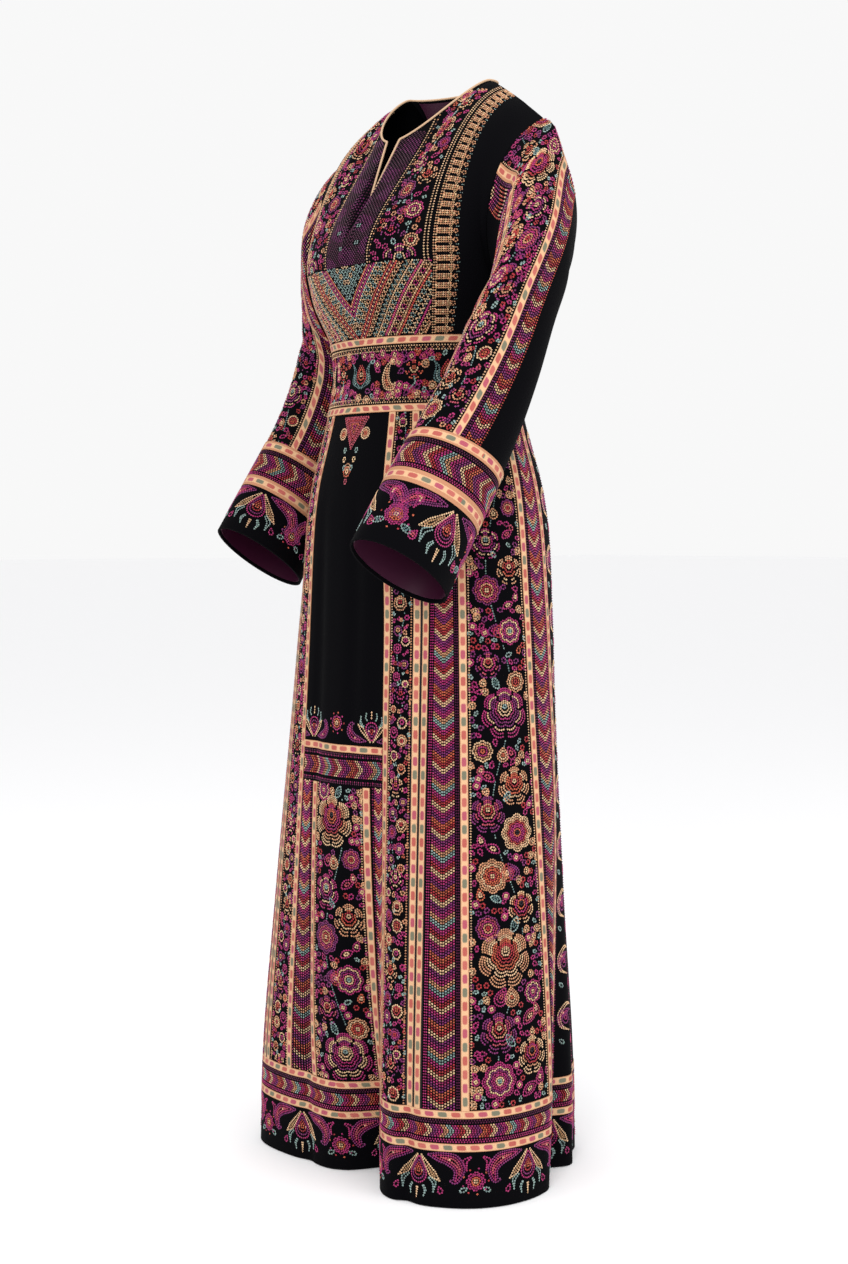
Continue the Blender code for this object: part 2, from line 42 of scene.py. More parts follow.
# The cut of the dress, in metres. Heights are above the hem; z is the height less the length.
cut = {
    "length": 1.40, "wall": 0.0015, "seam": 0.00034, "armholeSeam": 0.00082, "raised": 0.0008,
    "ribbon": 0.0095, "pair": 0.0215,
    "hemTop": 0.118, "hemRibbon": 0.078, "bandTop": 0.552, "bandBottom": 0.500,
    "beltBottom": 0.972, "beltTop": 1.067, "chestSeam": 1.157, "armpit": 1.120,
    "neckFront": 1.322, "slitBottom": 1.243, "slitHalf": 0.013, "neckBack": 1.403,
    "neckX": 0.080, "neckY": 0.043, "shoulderX": 0.198, "shoulderY": 0.025, "shoulderHeight": 1.332,
    "neckFrontY": -0.052, "neckBackY": 0.090, "neckShare": 0.30, "combInner": 0.51, "combOuter": 0.67,
}

# Height, half width, depth in front and behind, squareness.
sections = (
    (0.000, 0.224, 0.186, 0.206, 2.3),
    (0.120, 0.221, 0.184, 0.198, 2.3),
    (0.340, 0.210, 0.170, 0.178, 2.2),
    (0.600, 0.194, 0.150, 0.156, 2.1),
    (0.730, 0.185, 0.140, 0.150, 2.1),
    (0.874, 0.171, 0.133, 0.141, 2.0),
    (0.972, 0.146, 0.112, 0.115, 2.0),
    (1.020, 0.138, 0.104, 0.105, 2.0),
    (1.067, 0.143, 0.107, 0.107, 2.0),
    (1.120, 0.165, 0.125, 0.116, 2.1),
    (1.160, 0.176, 0.132, 0.119, 2.1),
)

# Angle at the waist and at the hem, depth at the hem, half width, start height, growth.
# The first rows are the folds of the solids, the rest are small creases under the belt.
folds = [
    (-6, -8, 0.036, 26, 0.80, 1.2),
    (24, 13, 0.084, 10, 0.84, 1.6),
    (41, 38, 0.008, 3.4, 0.93, 0.3),
    (64, 68, -0.022, 28, 0.70, 1.3),
    (116, 107, 0.066, 10, 0.64, 2.0),
    (132, 134, 0.030, 18, 0.86, 1.3),
    (168, 166, 0.030, 10, 0.80, 1.2),
    (-160, -158, 0.058, 12, 0.84, 1.4),
    (-112, -108, 0.052, 11, 0.84, 1.4),
    (-54, -50, -0.014, 16, 0.80, 0.9),
    (-14, -16, 0.005, 4, 0.92, 0.2),
    (9, 4, 0.005, 4, 0.92, 0.2),
]

# Outer x and height, inner x and height, forward, half depth, lean in degrees.
sleeveRows = {
    "left": (
        (0.237, 1.268, 0.188, 1.094, -0.003, 0.063, 4),
        (0.264, 1.190, 0.184, 1.070, 0.020, 0.060, 8),
        (0.267, 1.105, 0.174, 1.040, 0.048, 0.060, 14),
        (0.260, 1.030, 0.160, 0.998, 0.066, 0.060, 20),
        (0.250, 0.950, 0.147, 0.938, 0.096, 0.064, 26),
        (0.243, 0.876, 0.139, 0.870, 0.136, 0.068, 30),
        (0.239, 0.776, 0.134, 0.772, 0.196, 0.071, 33),
    ),
    "right": (
        (0.235, 1.268, 0.188, 1.094, -0.026, 0.066, 0),
        (0.262, 1.190, 0.186, 1.070, -0.040, 0.068, 2),
        (0.270, 1.100, 0.180, 1.050, -0.044, 0.069, 8),
        (0.272, 1.020, 0.178, 1.000, -0.026, 0.069, 20),
        (0.274, 0.945, 0.180, 0.938, 0.006, 0.068, 30),
        (0.272, 0.872, 0.176, 0.868, 0.054, 0.068, 34),
        (0.262, 0.790, 0.163, 0.786, 0.114, 0.070, 34),
    ),
}
mirrorOf = {"left": 1, "right": -1}

# Strips round the top of a sleeve by angle, and how far they have turned at shares of its length.
sleeveStrips = {
    "chevron_back": (-56, -29), "ribbon_back": (-29, -20), "floral": (-20, 50), "ribbon_front": (50, 59),
    "chevron_front": (59, 87), "under": (87, 304),
}
sleeveTwist = {
    "left": ((0.0, 0), (0.2, 4), (0.3, 18), (0.45, 37), (0.55, 47), (0.7, 58), (0.87, 66)),
    "right": ((0.0, 0), (0.2, 16), (0.4, 54), (0.55, 70), (0.7, 76), (0.87, 78)),
}
cuffEdges = {"ribbon_upper": (0.80, 0.822), "chevron_band": (0.822, 0.885), "ribbon_lower": (0.885, 0.907),
             "border": (0.907, 1.0), "lining": (0.84, 0.995)}

# Ribbons down each side of the skirt by angle and width, and the panel behind each.
skirtStrips = (
    ("ribbon_front", 24.5, cut["ribbon"], "vine"),
    ("ribbon_pair", 40.6, cut["pair"], "chevron_front"),
    ("ribbon_side", 59.5, cut["ribbon"], "floral"),
    ("ribbon_side_back", 94.0, cut["ribbon"], "chevron_back"),
    ("ribbon_back", 112.0, cut["ribbon"], None),
)


def smooth(share):
    share = np.clip(share, 0.0, 1.0)
    return share * share * (3 - 2 * share)


def readTable(rows, at):
    table = np.array(rows, float)
    places = table[:, 0]
    slopes = np.gradient(table, places, axis=0)
    at = np.clip(at, places[0], places[-1])
    i = np.clip(np.searchsorted(places, at, side="right") - 1, 0, len(places) - 2)
    step = (places[i + 1] - places[i])[..., None]
    t = (at - places[i])[..., None] / step
    low = (1 + 2 * t) * (1 - t) ** 2 * table[i] + t * (1 - t) ** 2 * step * slopes[i]
    high = t * t * (3 - 2 * t) * table[i + 1] + t * t * (t - 1) * step * slopes[i + 1]
    return low + high


def sectionPoint(angle, height):
    values = readTable(sections, height)
    across, along = np.sin(angle), np.cos(angle)
    depth = np.where(along > 0, values[..., 2], values[..., 3])
    power = 2 / values[..., 4]
    x = values[..., 1] * np.sign(across) * np.abs(across) ** power
    y = -depth * np.sign(along) * np.abs(along) ** power
    return x, y


def foldDepth(angle, height):
    depth = np.zeros(np.broadcast(angle, height).shape)
    for topAngle, hemAngle, full, halfAngle, start, growth in folds:
        down = np.clip((start - height) / start, 0, 1)
        middle = np.radians(topAngle + (hemAngle - topAngle) * down)
        away = (angle - middle + math.pi) % (2 * math.pi) - math.pi
        depth = depth + full * down**growth * smooth(down * 6) * np.exp(
            -((away / math.radians(halfAngle)) ** 2)
        )
    return depth


def body(angle, height):
    angle, height = np.broadcast_arrays(np.asarray(angle, float), np.asarray(height, float))
    x, y = sectionPoint(angle, height)
    pulled = 1 - foldDepth(angle, height) / np.hypot(x, y)
    return np.stack((x * pulled, y * pulled, height - cut["length"]), axis=-1)


def curve(p0, p1, p2, p3, t):
    t = t[..., None]
    return (1 - t) ** 3 * p0 + 3 * t * (1 - t) ** 2 * p1 + 3 * t * t * (1 - t) * p2 + t**3 * p3


def topEdge(share, side):
    away = np.abs(share)
    out = np.clip((away - cut["neckShare"]) / (1 - cut["neckShare"]), 0, 1)
    seamX = cut["neckX"] + (cut["shoulderX"] - cut["neckX"]) * out
    seamY = cut["neckY"] + (cut["shoulderY"] - cut["neckY"]) * out
    seamHeight = cut["length"] + (cut["shoulderHeight"] - cut["length"]) * out**1.15
    turn = math.pi / 2 * np.clip(away / cut["neckShare"], 0, 1)
    x = cut["neckX"] * np.sin(turn)
    fade = np.cos(turn)
    if side > 0:
        y = cut["neckY"] + (cut["neckBackY"] - cut["neckY"]) * fade
        height = cut["length"] + (cut["neckBack"] - cut["length"]) * fade
    else:
        y = cut["neckY"] - (cut["neckY"] - cut["neckFrontY"]) * fade
        height = cut["length"] - (cut["length"] - cut["neckFront"]) * np.maximum(fade, 0) ** 1.4
        low = np.clip(1 - x / cut["slitHalf"], 0, 1)
        height = height - (cut["neckFront"] - cut["slitBottom"]) * low
        y = y - 0.037 * low
    onSeam = away >= cut["neckShare"]
    x = np.where(onSeam, seamX, x)
    y = np.where(onSeam, seamY, y) + side * cut["seam"] / 2
    height = np.where(onSeam, seamHeight, height)
    return np.stack((np.sign(share) * x, y, height - cut["length"]), axis=-1)


def across3(x, y, z):
    return np.stack(np.broadcast_arrays(x, y, z), axis=-1)


def yoke(share, rise, side):
    share, rise = np.broadcast_arrays(np.asarray(share, float), np.asarray(rise, float))
    away = np.abs(share)
    outward = np.where(share < 0, -1.0, 1.0)
    toSide = smooth((away - cut["combOuter"]) / (1 - cut["combOuter"]))
    height = cut["chestSeam"] + (cut["armpit"] - cut["chestSeam"]) * toSide
    angle = math.pi / 2 * share if side < 0 else math.pi - math.pi / 2 * share
    low = body(angle, height)
    high = topEdge(share, side)
    over = smooth((away - cut["neckShare"] * 0.5) / (cut["neckShare"] * 0.7))
    hole = toSide**1.5
    plainHigh = across3(0 * over, side * (0.030 + 0.045 * over), -0.062 + 0.040 * over)
    startX = -0.008 * outward * hole
    startY = side * (0.012 * (1 - hole) + 0.050 * hole)
    startZ = 0.045 * (1 - hole) + 0.020 * hole
    forward, drop = (-0.095, -0.052) if side < 0 else (0.045, -0.070)
    holeHigh = across3(-0.022 * outward, forward + 0 * hole, drop + 0 * hole)
    start = low + across3(startX, startY, startZ)
    end = high + plainHigh * (1 - hole)[..., None] + holeHigh * hole[..., None]
    return curve(low, start, end, high, rise)


def bodice(side):
    def surface(share, up):
        share, up = np.broadcast_arrays(np.asarray(share, float), np.asarray(up, float))
        toSide = smooth((np.abs(share) - cut["combOuter"]) / (1 - cut["combOuter"]))
        top = cut["chestSeam"] + (cut["armpit"] - cut["chestSeam"]) * toSide
        angle = math.pi / 2 * share if side < 0 else math.pi - math.pi / 2 * share
        lower = body(angle, cut["beltTop"] + (top - cut["beltTop"]) * np.minimum(up, 1))
        upper = yoke(share, np.clip(up - 1, 0, 1.02), side)
        return np.where((up >= 1)[..., None], upper, lower)

    return surface


def armhole(turn, mirror):
    turn = turn % (2 * math.pi)
    front = yoke(mirror + 0 * turn, 1 - np.minimum(turn, math.pi) / math.pi, -1)
    back = yoke(mirror + 0 * turn, np.maximum(turn, math.pi) / math.pi - 1, 1)
    return np.where((turn <= math.pi)[..., None], front, back)


def sleeveSection(rows, along, turn, mirror):
    numbered = [(i, *row) for i, row in enumerate(rows)]
    values = readTable(numbered, along)
    outer = across3(values[..., 1] * mirror, -values[..., 5], values[..., 2] - cut["length"])
    inner = across3(values[..., 3] * mirror, -values[..., 5], values[..., 4] - cut["length"])
    tilt = np.radians(values[..., 7])
    front = across3(0 * tilt, -np.cos(tilt), np.sin(tilt)) * values[..., 6:7]
    return (
        outer + inner
    ) / 2 + (outer - inner) / 2 * np.cos(turn)[..., None] + front * np.sin(turn)[..., None]


# Soft creases across a sleeve: share of the way down, angle, depth, half length, half width.
sleeveCreases = {
    "left": ((0.40, 150, 0.0050, 0.030, 60), (0.47, 95, 0.0035, 0.022, 45), (0.56, 170, 0.0040, 0.026, 55),
             (0.17, 60, 0.0030, 0.020, 30), (0.66, 120, 0.0025, 0.020, 40), (0.33, 260, 0.0040, 0.030, 50)),
    "right": ((0.42, 140, 0.0045, 0.028, 55), (0.50, 80, 0.0030, 0.022, 45), (0.60, 190, 0.0040, 0.026, 50),
              (0.18, 300, 0.0030, 0.022, 40), (0.30, 230, 0.0035, 0.030, 50)),
}


def sleeve(word):
    rows, mirror, head = sleeveRows[word], mirrorOf[word], 0.22

    def surface(turn, along):
        turn, along = np.broadcast_arrays(np.asarray(turn, float), np.asarray(along, float))
        row = np.maximum(along - head, 0) / (1 - head) * (len(rows) - 1)
        regular = sleeveSection(rows, row, turn, mirror)
        below = sleeveSection(rows, np.full(turn.shape, 0.02), turn, mirror)
        top = sleeveSection(rows, np.zeros(turn.shape), turn, mirror)
        edge = armhole(turn, mirror) + np.array((cut["armholeSeam"] * mirror, 0, 0))
        leave = across3(
            0.040 * mirror * (0.55 + 0.45 * np.cos(turn)), 0 * turn, -0.016 - 0.016 * np.sin(turn) ** 2
        )
        arrive = (top - below) / 0.02 * 0.35
        onHead = curve(edge, edge + leave, top + arrive, top, np.clip(along / head, 0, 1))
        points = np.where((along >= head)[..., None], regular, onHead)
        centre = (regular + sleeveSection(rows, row, turn + math.pi, mirror)) / 2
        inward = centre - points
        inward /= np.maximum(np.linalg.norm(inward, axis=-1, keepdims=True), 1e-6)
        pull = 0
        for place, degrees, depth, halfLength, halfWidth in sleeveCreases[word]:
            away = (turn - math.radians(degrees) + math.pi) % (2 * math.pi) - math.pi
            slant = (along - place - 0.02 * np.sin(away * 1.3)) / halfLength
            pull = pull + depth * np.exp(-(slant**2) - (away / math.radians(halfWidth)) ** 2)
        return points + inward * (pull * smooth((along - 0.05) / 0.1))[..., None]

    return surface


print("form ready")


# Finishes: base colour, roughness, sheen and its roughness, bump strength and grain size.
finishes = {
    "velvet": {
        "colour": (0.0012, 0.0011, 0.0018), "rough": 0.90, "gloss": 0.045, "sheen": 0.006, "sheenRough": 0.35,
        "bump": 0.3, "grain": 900
    },
    "satin": {
        "colour": (0.038, 0.004, 0.019), "rough": 0.42, "gloss": 0.35, "sheen": 0.02, "sheenRough": 0.3,
        "bump": 0.10, "grain": 700
    },
    "ribbon": {
        "colour": (0.62, 0.38, 0.22), "rough": 0.60, "gloss": 0.25, "sheen": 0.0, "sheenRough": 0.4,
        "bump": 0.5, "grain": 900
    },
    "piping": {
        "colour": (0.52, 0.34, 0.21), "rough": 0.60, "gloss": 0.25, "sheen": 0.0, "sheenRough": 0.4,
        "bump": 0.7, "grain": 700
    },
}


def finishMaterial(name):
    look = finishes[name]
    made = bpy.data.materials.new(name + "Finish")
    made.use_nodes = True
    tree = made.node_tree
    shader = tree.nodes["Principled BSDF"]
    shader.inputs["Base Color"].default_value = (*look["colour"], 1)
    shader.inputs["Roughness"].default_value = look["rough"]
    shader.inputs["Specular IOR Level"].default_value = look["gloss"]
    shader.inputs["Sheen Weight"].default_value = look["sheen"]
    shader.inputs["Sheen Roughness"].default_value = look["sheenRough"]
    place = tree.nodes.new("ShaderNodeTexCoord")
    noise = tree.nodes.new("ShaderNodeTexNoise")
    noise.inputs["Scale"].default_value = look["grain"]
    noise.inputs["Detail"].default_value = 2
    bump = tree.nodes.new("ShaderNodeBump")
    bump.inputs["Strength"].default_value = look["bump"]
    bump.inputs["Distance"].default_value = 0.0006
    tree.links.new(place.outputs["Object"], noise.inputs["Vector"])
    tree.links.new(noise.outputs["Fac"], bump.inputs["Height"])
    tree.links.new(bump.outputs["Normal"], shader.inputs["Normal"])
    return made


# Cream ribbon with blocks of colour woven along its middle, in metres of the cloth's own cut.
ribbonLook = {
    "cream": (0.60, 0.36, 0.20), "edge": (0.42, 0.19, 0.10), "pitch": 0.0165, "blockShare": 0.66,
    "blockHalf": 0.0029,
    "blocks": ((0.34, 0.035, 0.040), (0.38, 0.060, 0.062), (0.31, 0.016, 0.080), (0.070, 0.105, 0.075)),
    "halfRibbon": 0.0043, "pairOffset": 0.0062,
}


def ribbonMaterial(name, paired=False):
    look = ribbonLook
    made = bpy.data.materials.new(name)
    made.use_nodes = True
    tree = made.node_tree
    shader = tree.nodes["Principled BSDF"]
    for socket, key in (("Roughness", "rough"), ("Specular IOR Level", "gloss"), ("Sheen Weight", "sheen")):
        shader.inputs[socket].default_value = finishes["ribbon"][key]

    def math2(operation, first, second=None, third=None):
        node = tree.nodes.new("ShaderNodeMath")
        node.operation = operation
        for i, value in enumerate((first, second, third)):
            if value is None:
                continue
            if isinstance(value, (int, float)):
                node.inputs[i].default_value = value
            else:
                tree.links.new(value, node.inputs[i])
        return node.outputs[0]

    def mixed(share, first, second):
        node = tree.nodes.new("ShaderNodeMix")
        node.data_type = "RGBA"
        tree.links.new(share, node.inputs[0])
        for i, value in ((6, first), (7, second)):
            if isinstance(value, tuple):
                node.inputs[i].default_value = (*value, 1)
            else:
                tree.links.new(value, node.inputs[i])
        return node.outputs[2]

    uv = tree.nodes.new("ShaderNodeUVMap")
    uv.uv_map = "cloth"
    parts = tree.nodes.new("ShaderNodeSeparateXYZ")
    tree.links.new(uv.outputs[0], parts.inputs[0])
    across, along = parts.outputs[0], parts.outputs[1]
    away = math2("ABSOLUTE", across)
    if paired:
        away = math2("ABSOLUTE", math2("SUBTRACT", away, look["pairOffset"]))
    fuzz = tree.nodes.new("ShaderNodeTexNoise")
    fuzz.noise_dimensions = "2D"
    fuzz.inputs["Scale"].default_value = 700
    tree.links.new(uv.outputs[0], fuzz.inputs["Vector"])
    ragged = math2("MULTIPLY", math2("SUBTRACT", fuzz.outputs[0], 0.5), 0.0022)
    row = math2("DIVIDE", along, look["pitch"])
    which = math2("FRACT", math2("DIVIDE", math2("FLOOR", row), float(len(look["blocks"]))))
    ramp = tree.nodes.new("ShaderNodeValToRGB")
    ramp.color_ramp.interpolation = "CONSTANT"
    for i, colour in enumerate(look["blocks"]):
        stop = ramp.color_ramp.elements[i] if i < 2 else ramp.color_ramp.elements.new(1)
        stop.position = max(i / len(look["blocks"]) - 0.02, 0)
        stop.color = (*colour, 1)
    tree.links.new(which, ramp.inputs[0])
    local = math2("ABSOLUTE", math2("SUBTRACT", math2("FRACT", row), 0.5))
    endAway = math2("POWER", math2("DIVIDE", local, look["blockShare"] / 2), 4.0)
    sideAway = math2("POWER", math2("DIVIDE", away, look["blockHalf"]), 4.0)
    outside = math2("ADD", math2("ADD", endAway, sideAway), math2("MULTIPLY", ragged, 500.0))
    block = math2("MULTIPLY_ADD", outside, -0.9, 1.5)
    block.node.use_clamp = True
    rim = math2("MULTIPLY_ADD", math2("ADD", away, ragged), 1 / 0.0009, -0.0036 / 0.0009)
    rim.node.use_clamp = True
    cream = mixed(rim, look["cream"], look["edge"])
    woven = mixed(math2("MULTIPLY", block, 0.86), cream, ramp.outputs[0])
    if paired:
        bare = math2("MULTIPLY_ADD", away, 1 / 0.0004, -look["halfRibbon"] / 0.0004)
        bare.node.use_clamp = True
        woven = mixed(bare, woven, finishes["velvet"]["colour"])
    tree.links.new(woven, shader.inputs["Base Color"])
    bump = tree.nodes.new("ShaderNodeBump")
    bump.inputs["Strength"].default_value = finishes["ribbon"]["bump"]
    bump.inputs["Distance"].default_value = 0.0005
    tree.links.new(fuzz.outputs[0], bump.inputs["Height"])
    tree.links.new(bump.outputs["Normal"], shader.inputs["Normal"])
    return made


def normalOf(surface, u, v, flip):
    step = 1e-3
    out = np.cross(
        surface(u + step, v) - surface(u - step, v), surface(u, v + step) - surface(u, v - step)
    ) * flip
    return out / np.maximum(np.linalg.norm(out, axis=-1, keepdims=True), 1e-12)


# A grid of places over a piece: rows of v, edges left and right as functions of v.
def gridOf(piece):
    v = np.linspace(piece["top"], piece["bottom"], piece["rows"] + 1)[:, None]
    share = np.linspace(0, 1, piece["columns"] + 1)[None, :]
    start, end = piece["left"](v), piece["right"](v)
    return start + (end - start) * share, v + 0 * share


# A closed thin wall from the points of its outer and inner face, with flat and bake coordinates.
def wallObject(name, outer, inner, x, y, material, ring=False):
    rows, columns = x.shape
    below = rows * columns
    grid = np.arange(below).reshape(rows, columns)
    a, b, c, d = (part.reshape(-1) for part in (grid[:-1, :-1], grid[:-1, 1:], grid[1:, 1:], grid[1:, :-1]))
    faces = [np.stack((a, b, c, d), 1), np.stack((a, d, c, b), 1) + below]
    rims = [grid[0, ::-1], grid[-1]] if ring else [grid[:, 0], grid[::-1, -1], grid[0, ::-1], grid[-1]]
    for line in rims:
        faces.append(np.stack((line[:-1], line[1:], line[1:] + below, line[:-1] + below), 1))
    faces = np.concatenate(faces)
    verts = np.concatenate((outer.reshape(-1, 3), inner.reshape(-1, 3)))
    first = faces[len(a) // 2]
    across, down = verts[first[1]] - verts[first[0]], verts[first[3]] - verts[first[0]]
    if np.cross(across, down) @ (verts[first[0]] - verts[first[0] + below]) < 0:
        faces = faces[:, ::-1]
    corners = faces.reshape(-1)
    joined = np.arange(2 * below)
    if ring:
        joined[grid[:, -1]], joined[grid[:, -1] + below] = grid[:, 0], grid[:, 0] + below
    kept, shared = np.unique(joined, return_inverse=True)
    mesh = bpy.data.meshes.new(name)
    mesh.from_pydata(verts[kept].tolist(), [], shared[faces].tolist())
    onRibbon = (y - y[-1:] / 2, x) if ring else (x, y)
    flat = np.concatenate((np.stack(onRibbon, -1).reshape(-1, 2),) * 2)
    mesh.uv_layers.new(name="cloth").data.foreach_set("uv", flat[corners].reshape(-1))
    share = np.indices((rows, columns)) / np.array((rows - 1, columns - 1))[:, None, None]
    bakeOuter = np.stack((0.005 + 0.79 * share[1], 0.995 - 0.99 * share[0]), -1).reshape(-1, 2)
    bakeInner = np.stack((0.81 + 0.15 * share[1], 0.995 - 0.99 * share[0]), -1).reshape(-1, 2)
    places = np.concatenate((bakeOuter, bakeInner))[corners].reshape(-1, 4, 2)
    rimFaces = np.arange(2 * len(a), len(faces))
    strip = np.linspace(0.005, 0.99, len(rimFaces) + 1)
    rim = np.zeros((len(rimFaces), 4, 2))
    rim[:, (0, 3), 0], rim[:, (1, 2), 0] = 0.970, 0.990
    rim[:, (0, 1), 1], rim[:, (2, 3), 1] = strip[:-1, None], strip[1:, None] - (strip[1] - strip[0]) * 0.2
    places[rimFaces] = rim
    mesh.uv_layers.new(name="OFBake").data.foreach_set("uv", places.reshape(-1))
    mesh.materials.append(material)
    mesh.shade_smooth()
    mesh.set_sharp_from_angle(angle=math.radians(50))
    made = bpy.data.objects.new(name, mesh)
    bpy.context.scene.collection.objects.link(made)
    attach(made, "root")
    return made


# The cloth of one solid, with its cut measured across each row and down each column.
def clothSheet(piece):
    u, v = gridOf(piece)
    place = piece["surface"](u, v)
    out = normalOf(piece["surface"], u, v, piece.get("flip", 1))
    high, low = piece.get("high", 0.0), piece.get("low", -cut["wall"])
    acrossSteps = np.linalg.norm(np.diff(place, axis=1), axis=-1)
    downSteps = np.linalg.norm(np.diff(place, axis=0), axis=-1)
    x = np.concatenate((np.zeros((len(u), 1)), np.cumsum(acrossSteps, axis=1)), axis=1)
    y = np.concatenate((np.zeros((1, len(u[0]))), np.cumsum(downSteps, axis=0)), axis=0)
    x = x - x[:, -1:] / 2
    piece["x"], piece["y"] = x, y
    name = "cloth_" + piece["name"]
    made = wallObject(
        name, place + out * high, place + out * low, x, y, piece["material"], piece.get("ring", False)
    )
    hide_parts(piece["name"])
    return made


def fixed(value):
    return lambda v: value + 0 * np.asarray(v, float)


def stripEdge(degrees, width, edge):
    middle = math.radians(degrees)

    def angle(height):
        before, after = sectionPoint(middle - 0.02, height), sectionPoint(middle + 0.02, height)
        speed = np.hypot(after[0] - before[0], after[1] - before[1]) / 0.04
        return middle + edge * width / 2 / speed

    return angle


def twisted(degrees, word):
    return lambda along: np.radians(degrees + readTable(sleeveTwist[word], along)[..., 1])


pieces = {}


def addPiece(name, slot, material, surface, left, right, top, bottom, rows, columns, **more):
    pieces[name] = {
        "name": name, "slot": slot, "material": material, "surface": surface, "left": left, "right": right,
        "top": top, "bottom": bottom, "rows": rows, "columns": columns, "held": "hung", **more,
    }


velvet, satin, piping = finishMaterial("velvet"), finishMaterial("satin"), finishMaterial("piping")
ribbon, ribbonPair = ribbonMaterial("wovenRibbon"), ribbonMaterial("wovenRibbonPair", paired=True)
raised = cut["raised"]

# The skirt: strips down each side, the front panel in three parts and the back panel.
skirtTop, skirtBottom = cut["beltBottom"], cut["hemTop"]
for side, word in ((1, "left"), (-1, "right")):
    for i, (name, angle, width, panel) in enumerate(skirtStrips):
        near, far = stripEdge(side * angle, width, -side), stripEdge(side * angle, width, side)
        look = ribbonPair if width == cut["pair"] else ribbon
        count = 12 if width == cut["pair"] else 4
        addPiece(
            f"skirt_{name}_{word}", "ribbon", look, body, near, far, skirtTop, skirtBottom, 150, count,
            high=raised
        )
        if panel:
            nextAngle, nextWidth = skirtStrips[i + 1][1:3]
            end = stripEdge(side * nextAngle, nextWidth, -side)
            addPiece(
                f"skirt_{panel}_{word}", "embroidery", velvet, body, far, end, skirtTop, skirtBottom, 150, 16
            )
frontLeft = stripEdge(skirtStrips[0][1], cut["ribbon"], -1)
frontRight = stripEdge(-skirtStrips[0][1], cut["ribbon"], 1)
backLeft = stripEdge(skirtStrips[-1][1], cut["ribbon"], 1)
backRightEdge = stripEdge(-skirtStrips[-1][1], cut["ribbon"], -1)
addPiece("skirt_front", "velvet", velvet, body, frontRight, frontLeft, skirtTop, cut["bandTop"], 80, 40)
addPiece(
    "skirt_front_band", "embroidery", velvet, body, frontRight, frontLeft, cut["bandTop"], cut["bandBottom"],
    12, 40
)
addPiece(
    "skirt_front_lower", "embroidery", velvet, body, frontRight, frontLeft, cut["bandBottom"], skirtBottom,
    80, 40
)
addPiece("skirt_back", "velvet", velvet, body, backLeft, lambda v: 2 * math.pi + backRightEdge(v),
         skirtTop, skirtBottom, 150, 70)

# The hem bands and the belt, all round.
hemRibbonTop, hemRibbonLow = cut["hemTop"] - cut["ribbon"], cut["hemRibbon"] - cut["ribbon"]
beltBandTop, beltBandLow = cut["beltTop"] - cut["ribbon"], cut["beltBottom"] + cut["ribbon"]
rings = (
    ("hem_ribbon_upper", cut["hemTop"], hemRibbonTop, 320, 3, raised),
    ("hem_chevron_band", hemRibbonTop, cut["hemRibbon"], 320, 5, 0.0),
    ("hem_ribbon_lower", cut["hemRibbon"], hemRibbonLow, 320, 3, raised),
    ("hem_border", hemRibbonLow, 0.0, 320, 10, 0.0),
    ("belt_ribbon_upper", cut["beltTop"], beltBandTop, 160, 3, 2 * raised),
    ("belt_band", beltBandTop, beltBandLow, 160, 10, raised),
    ("belt_ribbon_lower", beltBandLow, cut["beltBottom"], 160, 3, 2 * raised),
)
for name, top, bottom, columns, rows, high in rings:
    isRibbon = "ribbon" in name
    addPiece(name, "ribbon" if isRibbon else "embroidery", ribbon if isRibbon else velvet, body,
             fixed(0), fixed(2 * math.pi), top, bottom, rows, columns, high=high, ring=True, held="stretched")

# The bodice: chest panel, under-bust panel, comb borders, sides, back and neck facing.
front, back = bodice(-1), bodice(1)
inner, outer, neckShare = cut["combInner"], cut["combOuter"], cut["neckShare"]
addPiece(
    "under_bust_panel", "embroidery", velvet, front, fixed(-inner), fixed(inner), 1.0, 0.0, 16, 50, flip=1,
    held="stretched"
)
for side, word in ((1, "left"), (-1, "right")):
    edges = sorted((side * inner, side * outer))
    addPiece(
        f"comb_border_{word}", "embroidery", velvet, front, fixed(edges[0]), fixed(edges[1]), 2.0, 0.0, 60, 8
    )
    edges = sorted((side * outer, side * 1.0))
    addPiece(
        f"bodice_side_{word}", "velvet", velvet, front, fixed(edges[0]), fixed(edges[1]), 2.0, 0.0, 60, 14
    )
addPiece("chest_panel", "embroidery", velvet, front, fixed(-inner), fixed(inner), 2.0, 1.0, 50, 80)
addPiece("bodice_back", "velvet", velvet, back, fixed(1.0), fixed(-1.0), 2.0, 0.0, 60, 80, flip=-1)
facingDepth = -cut["wall"] - 3 * cut["seam"]
addPiece("neck_facing", "satin", satin, back, fixed(0.26), fixed(-0.26), 1.985, 1.86, 8, 30, flip=-1,
         high=facingDepth, low=facingDepth - 0.001)

# The sleeves and cuffs.
for word, mirror in mirrorOf.items():
    form = sleeve(word)
    for name, (start, end) in sleeveStrips.items():
        isRibbon, high = "ribbon" in name, raised / 2 if "ribbon" in name else 0.0
        slot = "ribbon" if isRibbon else "velvet" if name == "under" else "embroidery"
        count = {"under": 60, "floral": 22}.get(name, 4 if isRibbon else 10)
        addPiece(f"sleeve_{word}_{name}", slot, ribbon if isRibbon else velvet, form, twisted(start, word),
                 twisted(end, word), 0.0, cuffEdges["ribbon_upper"][0], 110, count, high=high, flip=mirror)
    for name, (top, bottom) in cuffEdges.items():
        lining, isRibbon = name == "lining", "ribbon" in name
        high = -cut["wall"] - 2 * cut["seam"] if lining else 2 * raised if isRibbon else raised
        low = high - 0.001 if lining else -cut["wall"]
        slot = "satin" if lining else "ribbon" if isRibbon else "embroidery"
        look = satin if lining else ribbon if isRibbon else velvet
        addPiece(f"cuff_{word}_{name}", slot, look, form, fixed(0), fixed(2 * math.pi), top, bottom,
                 3 if isRibbon else 10, 110, high=high, low=low, flip=mirror, ring=True)

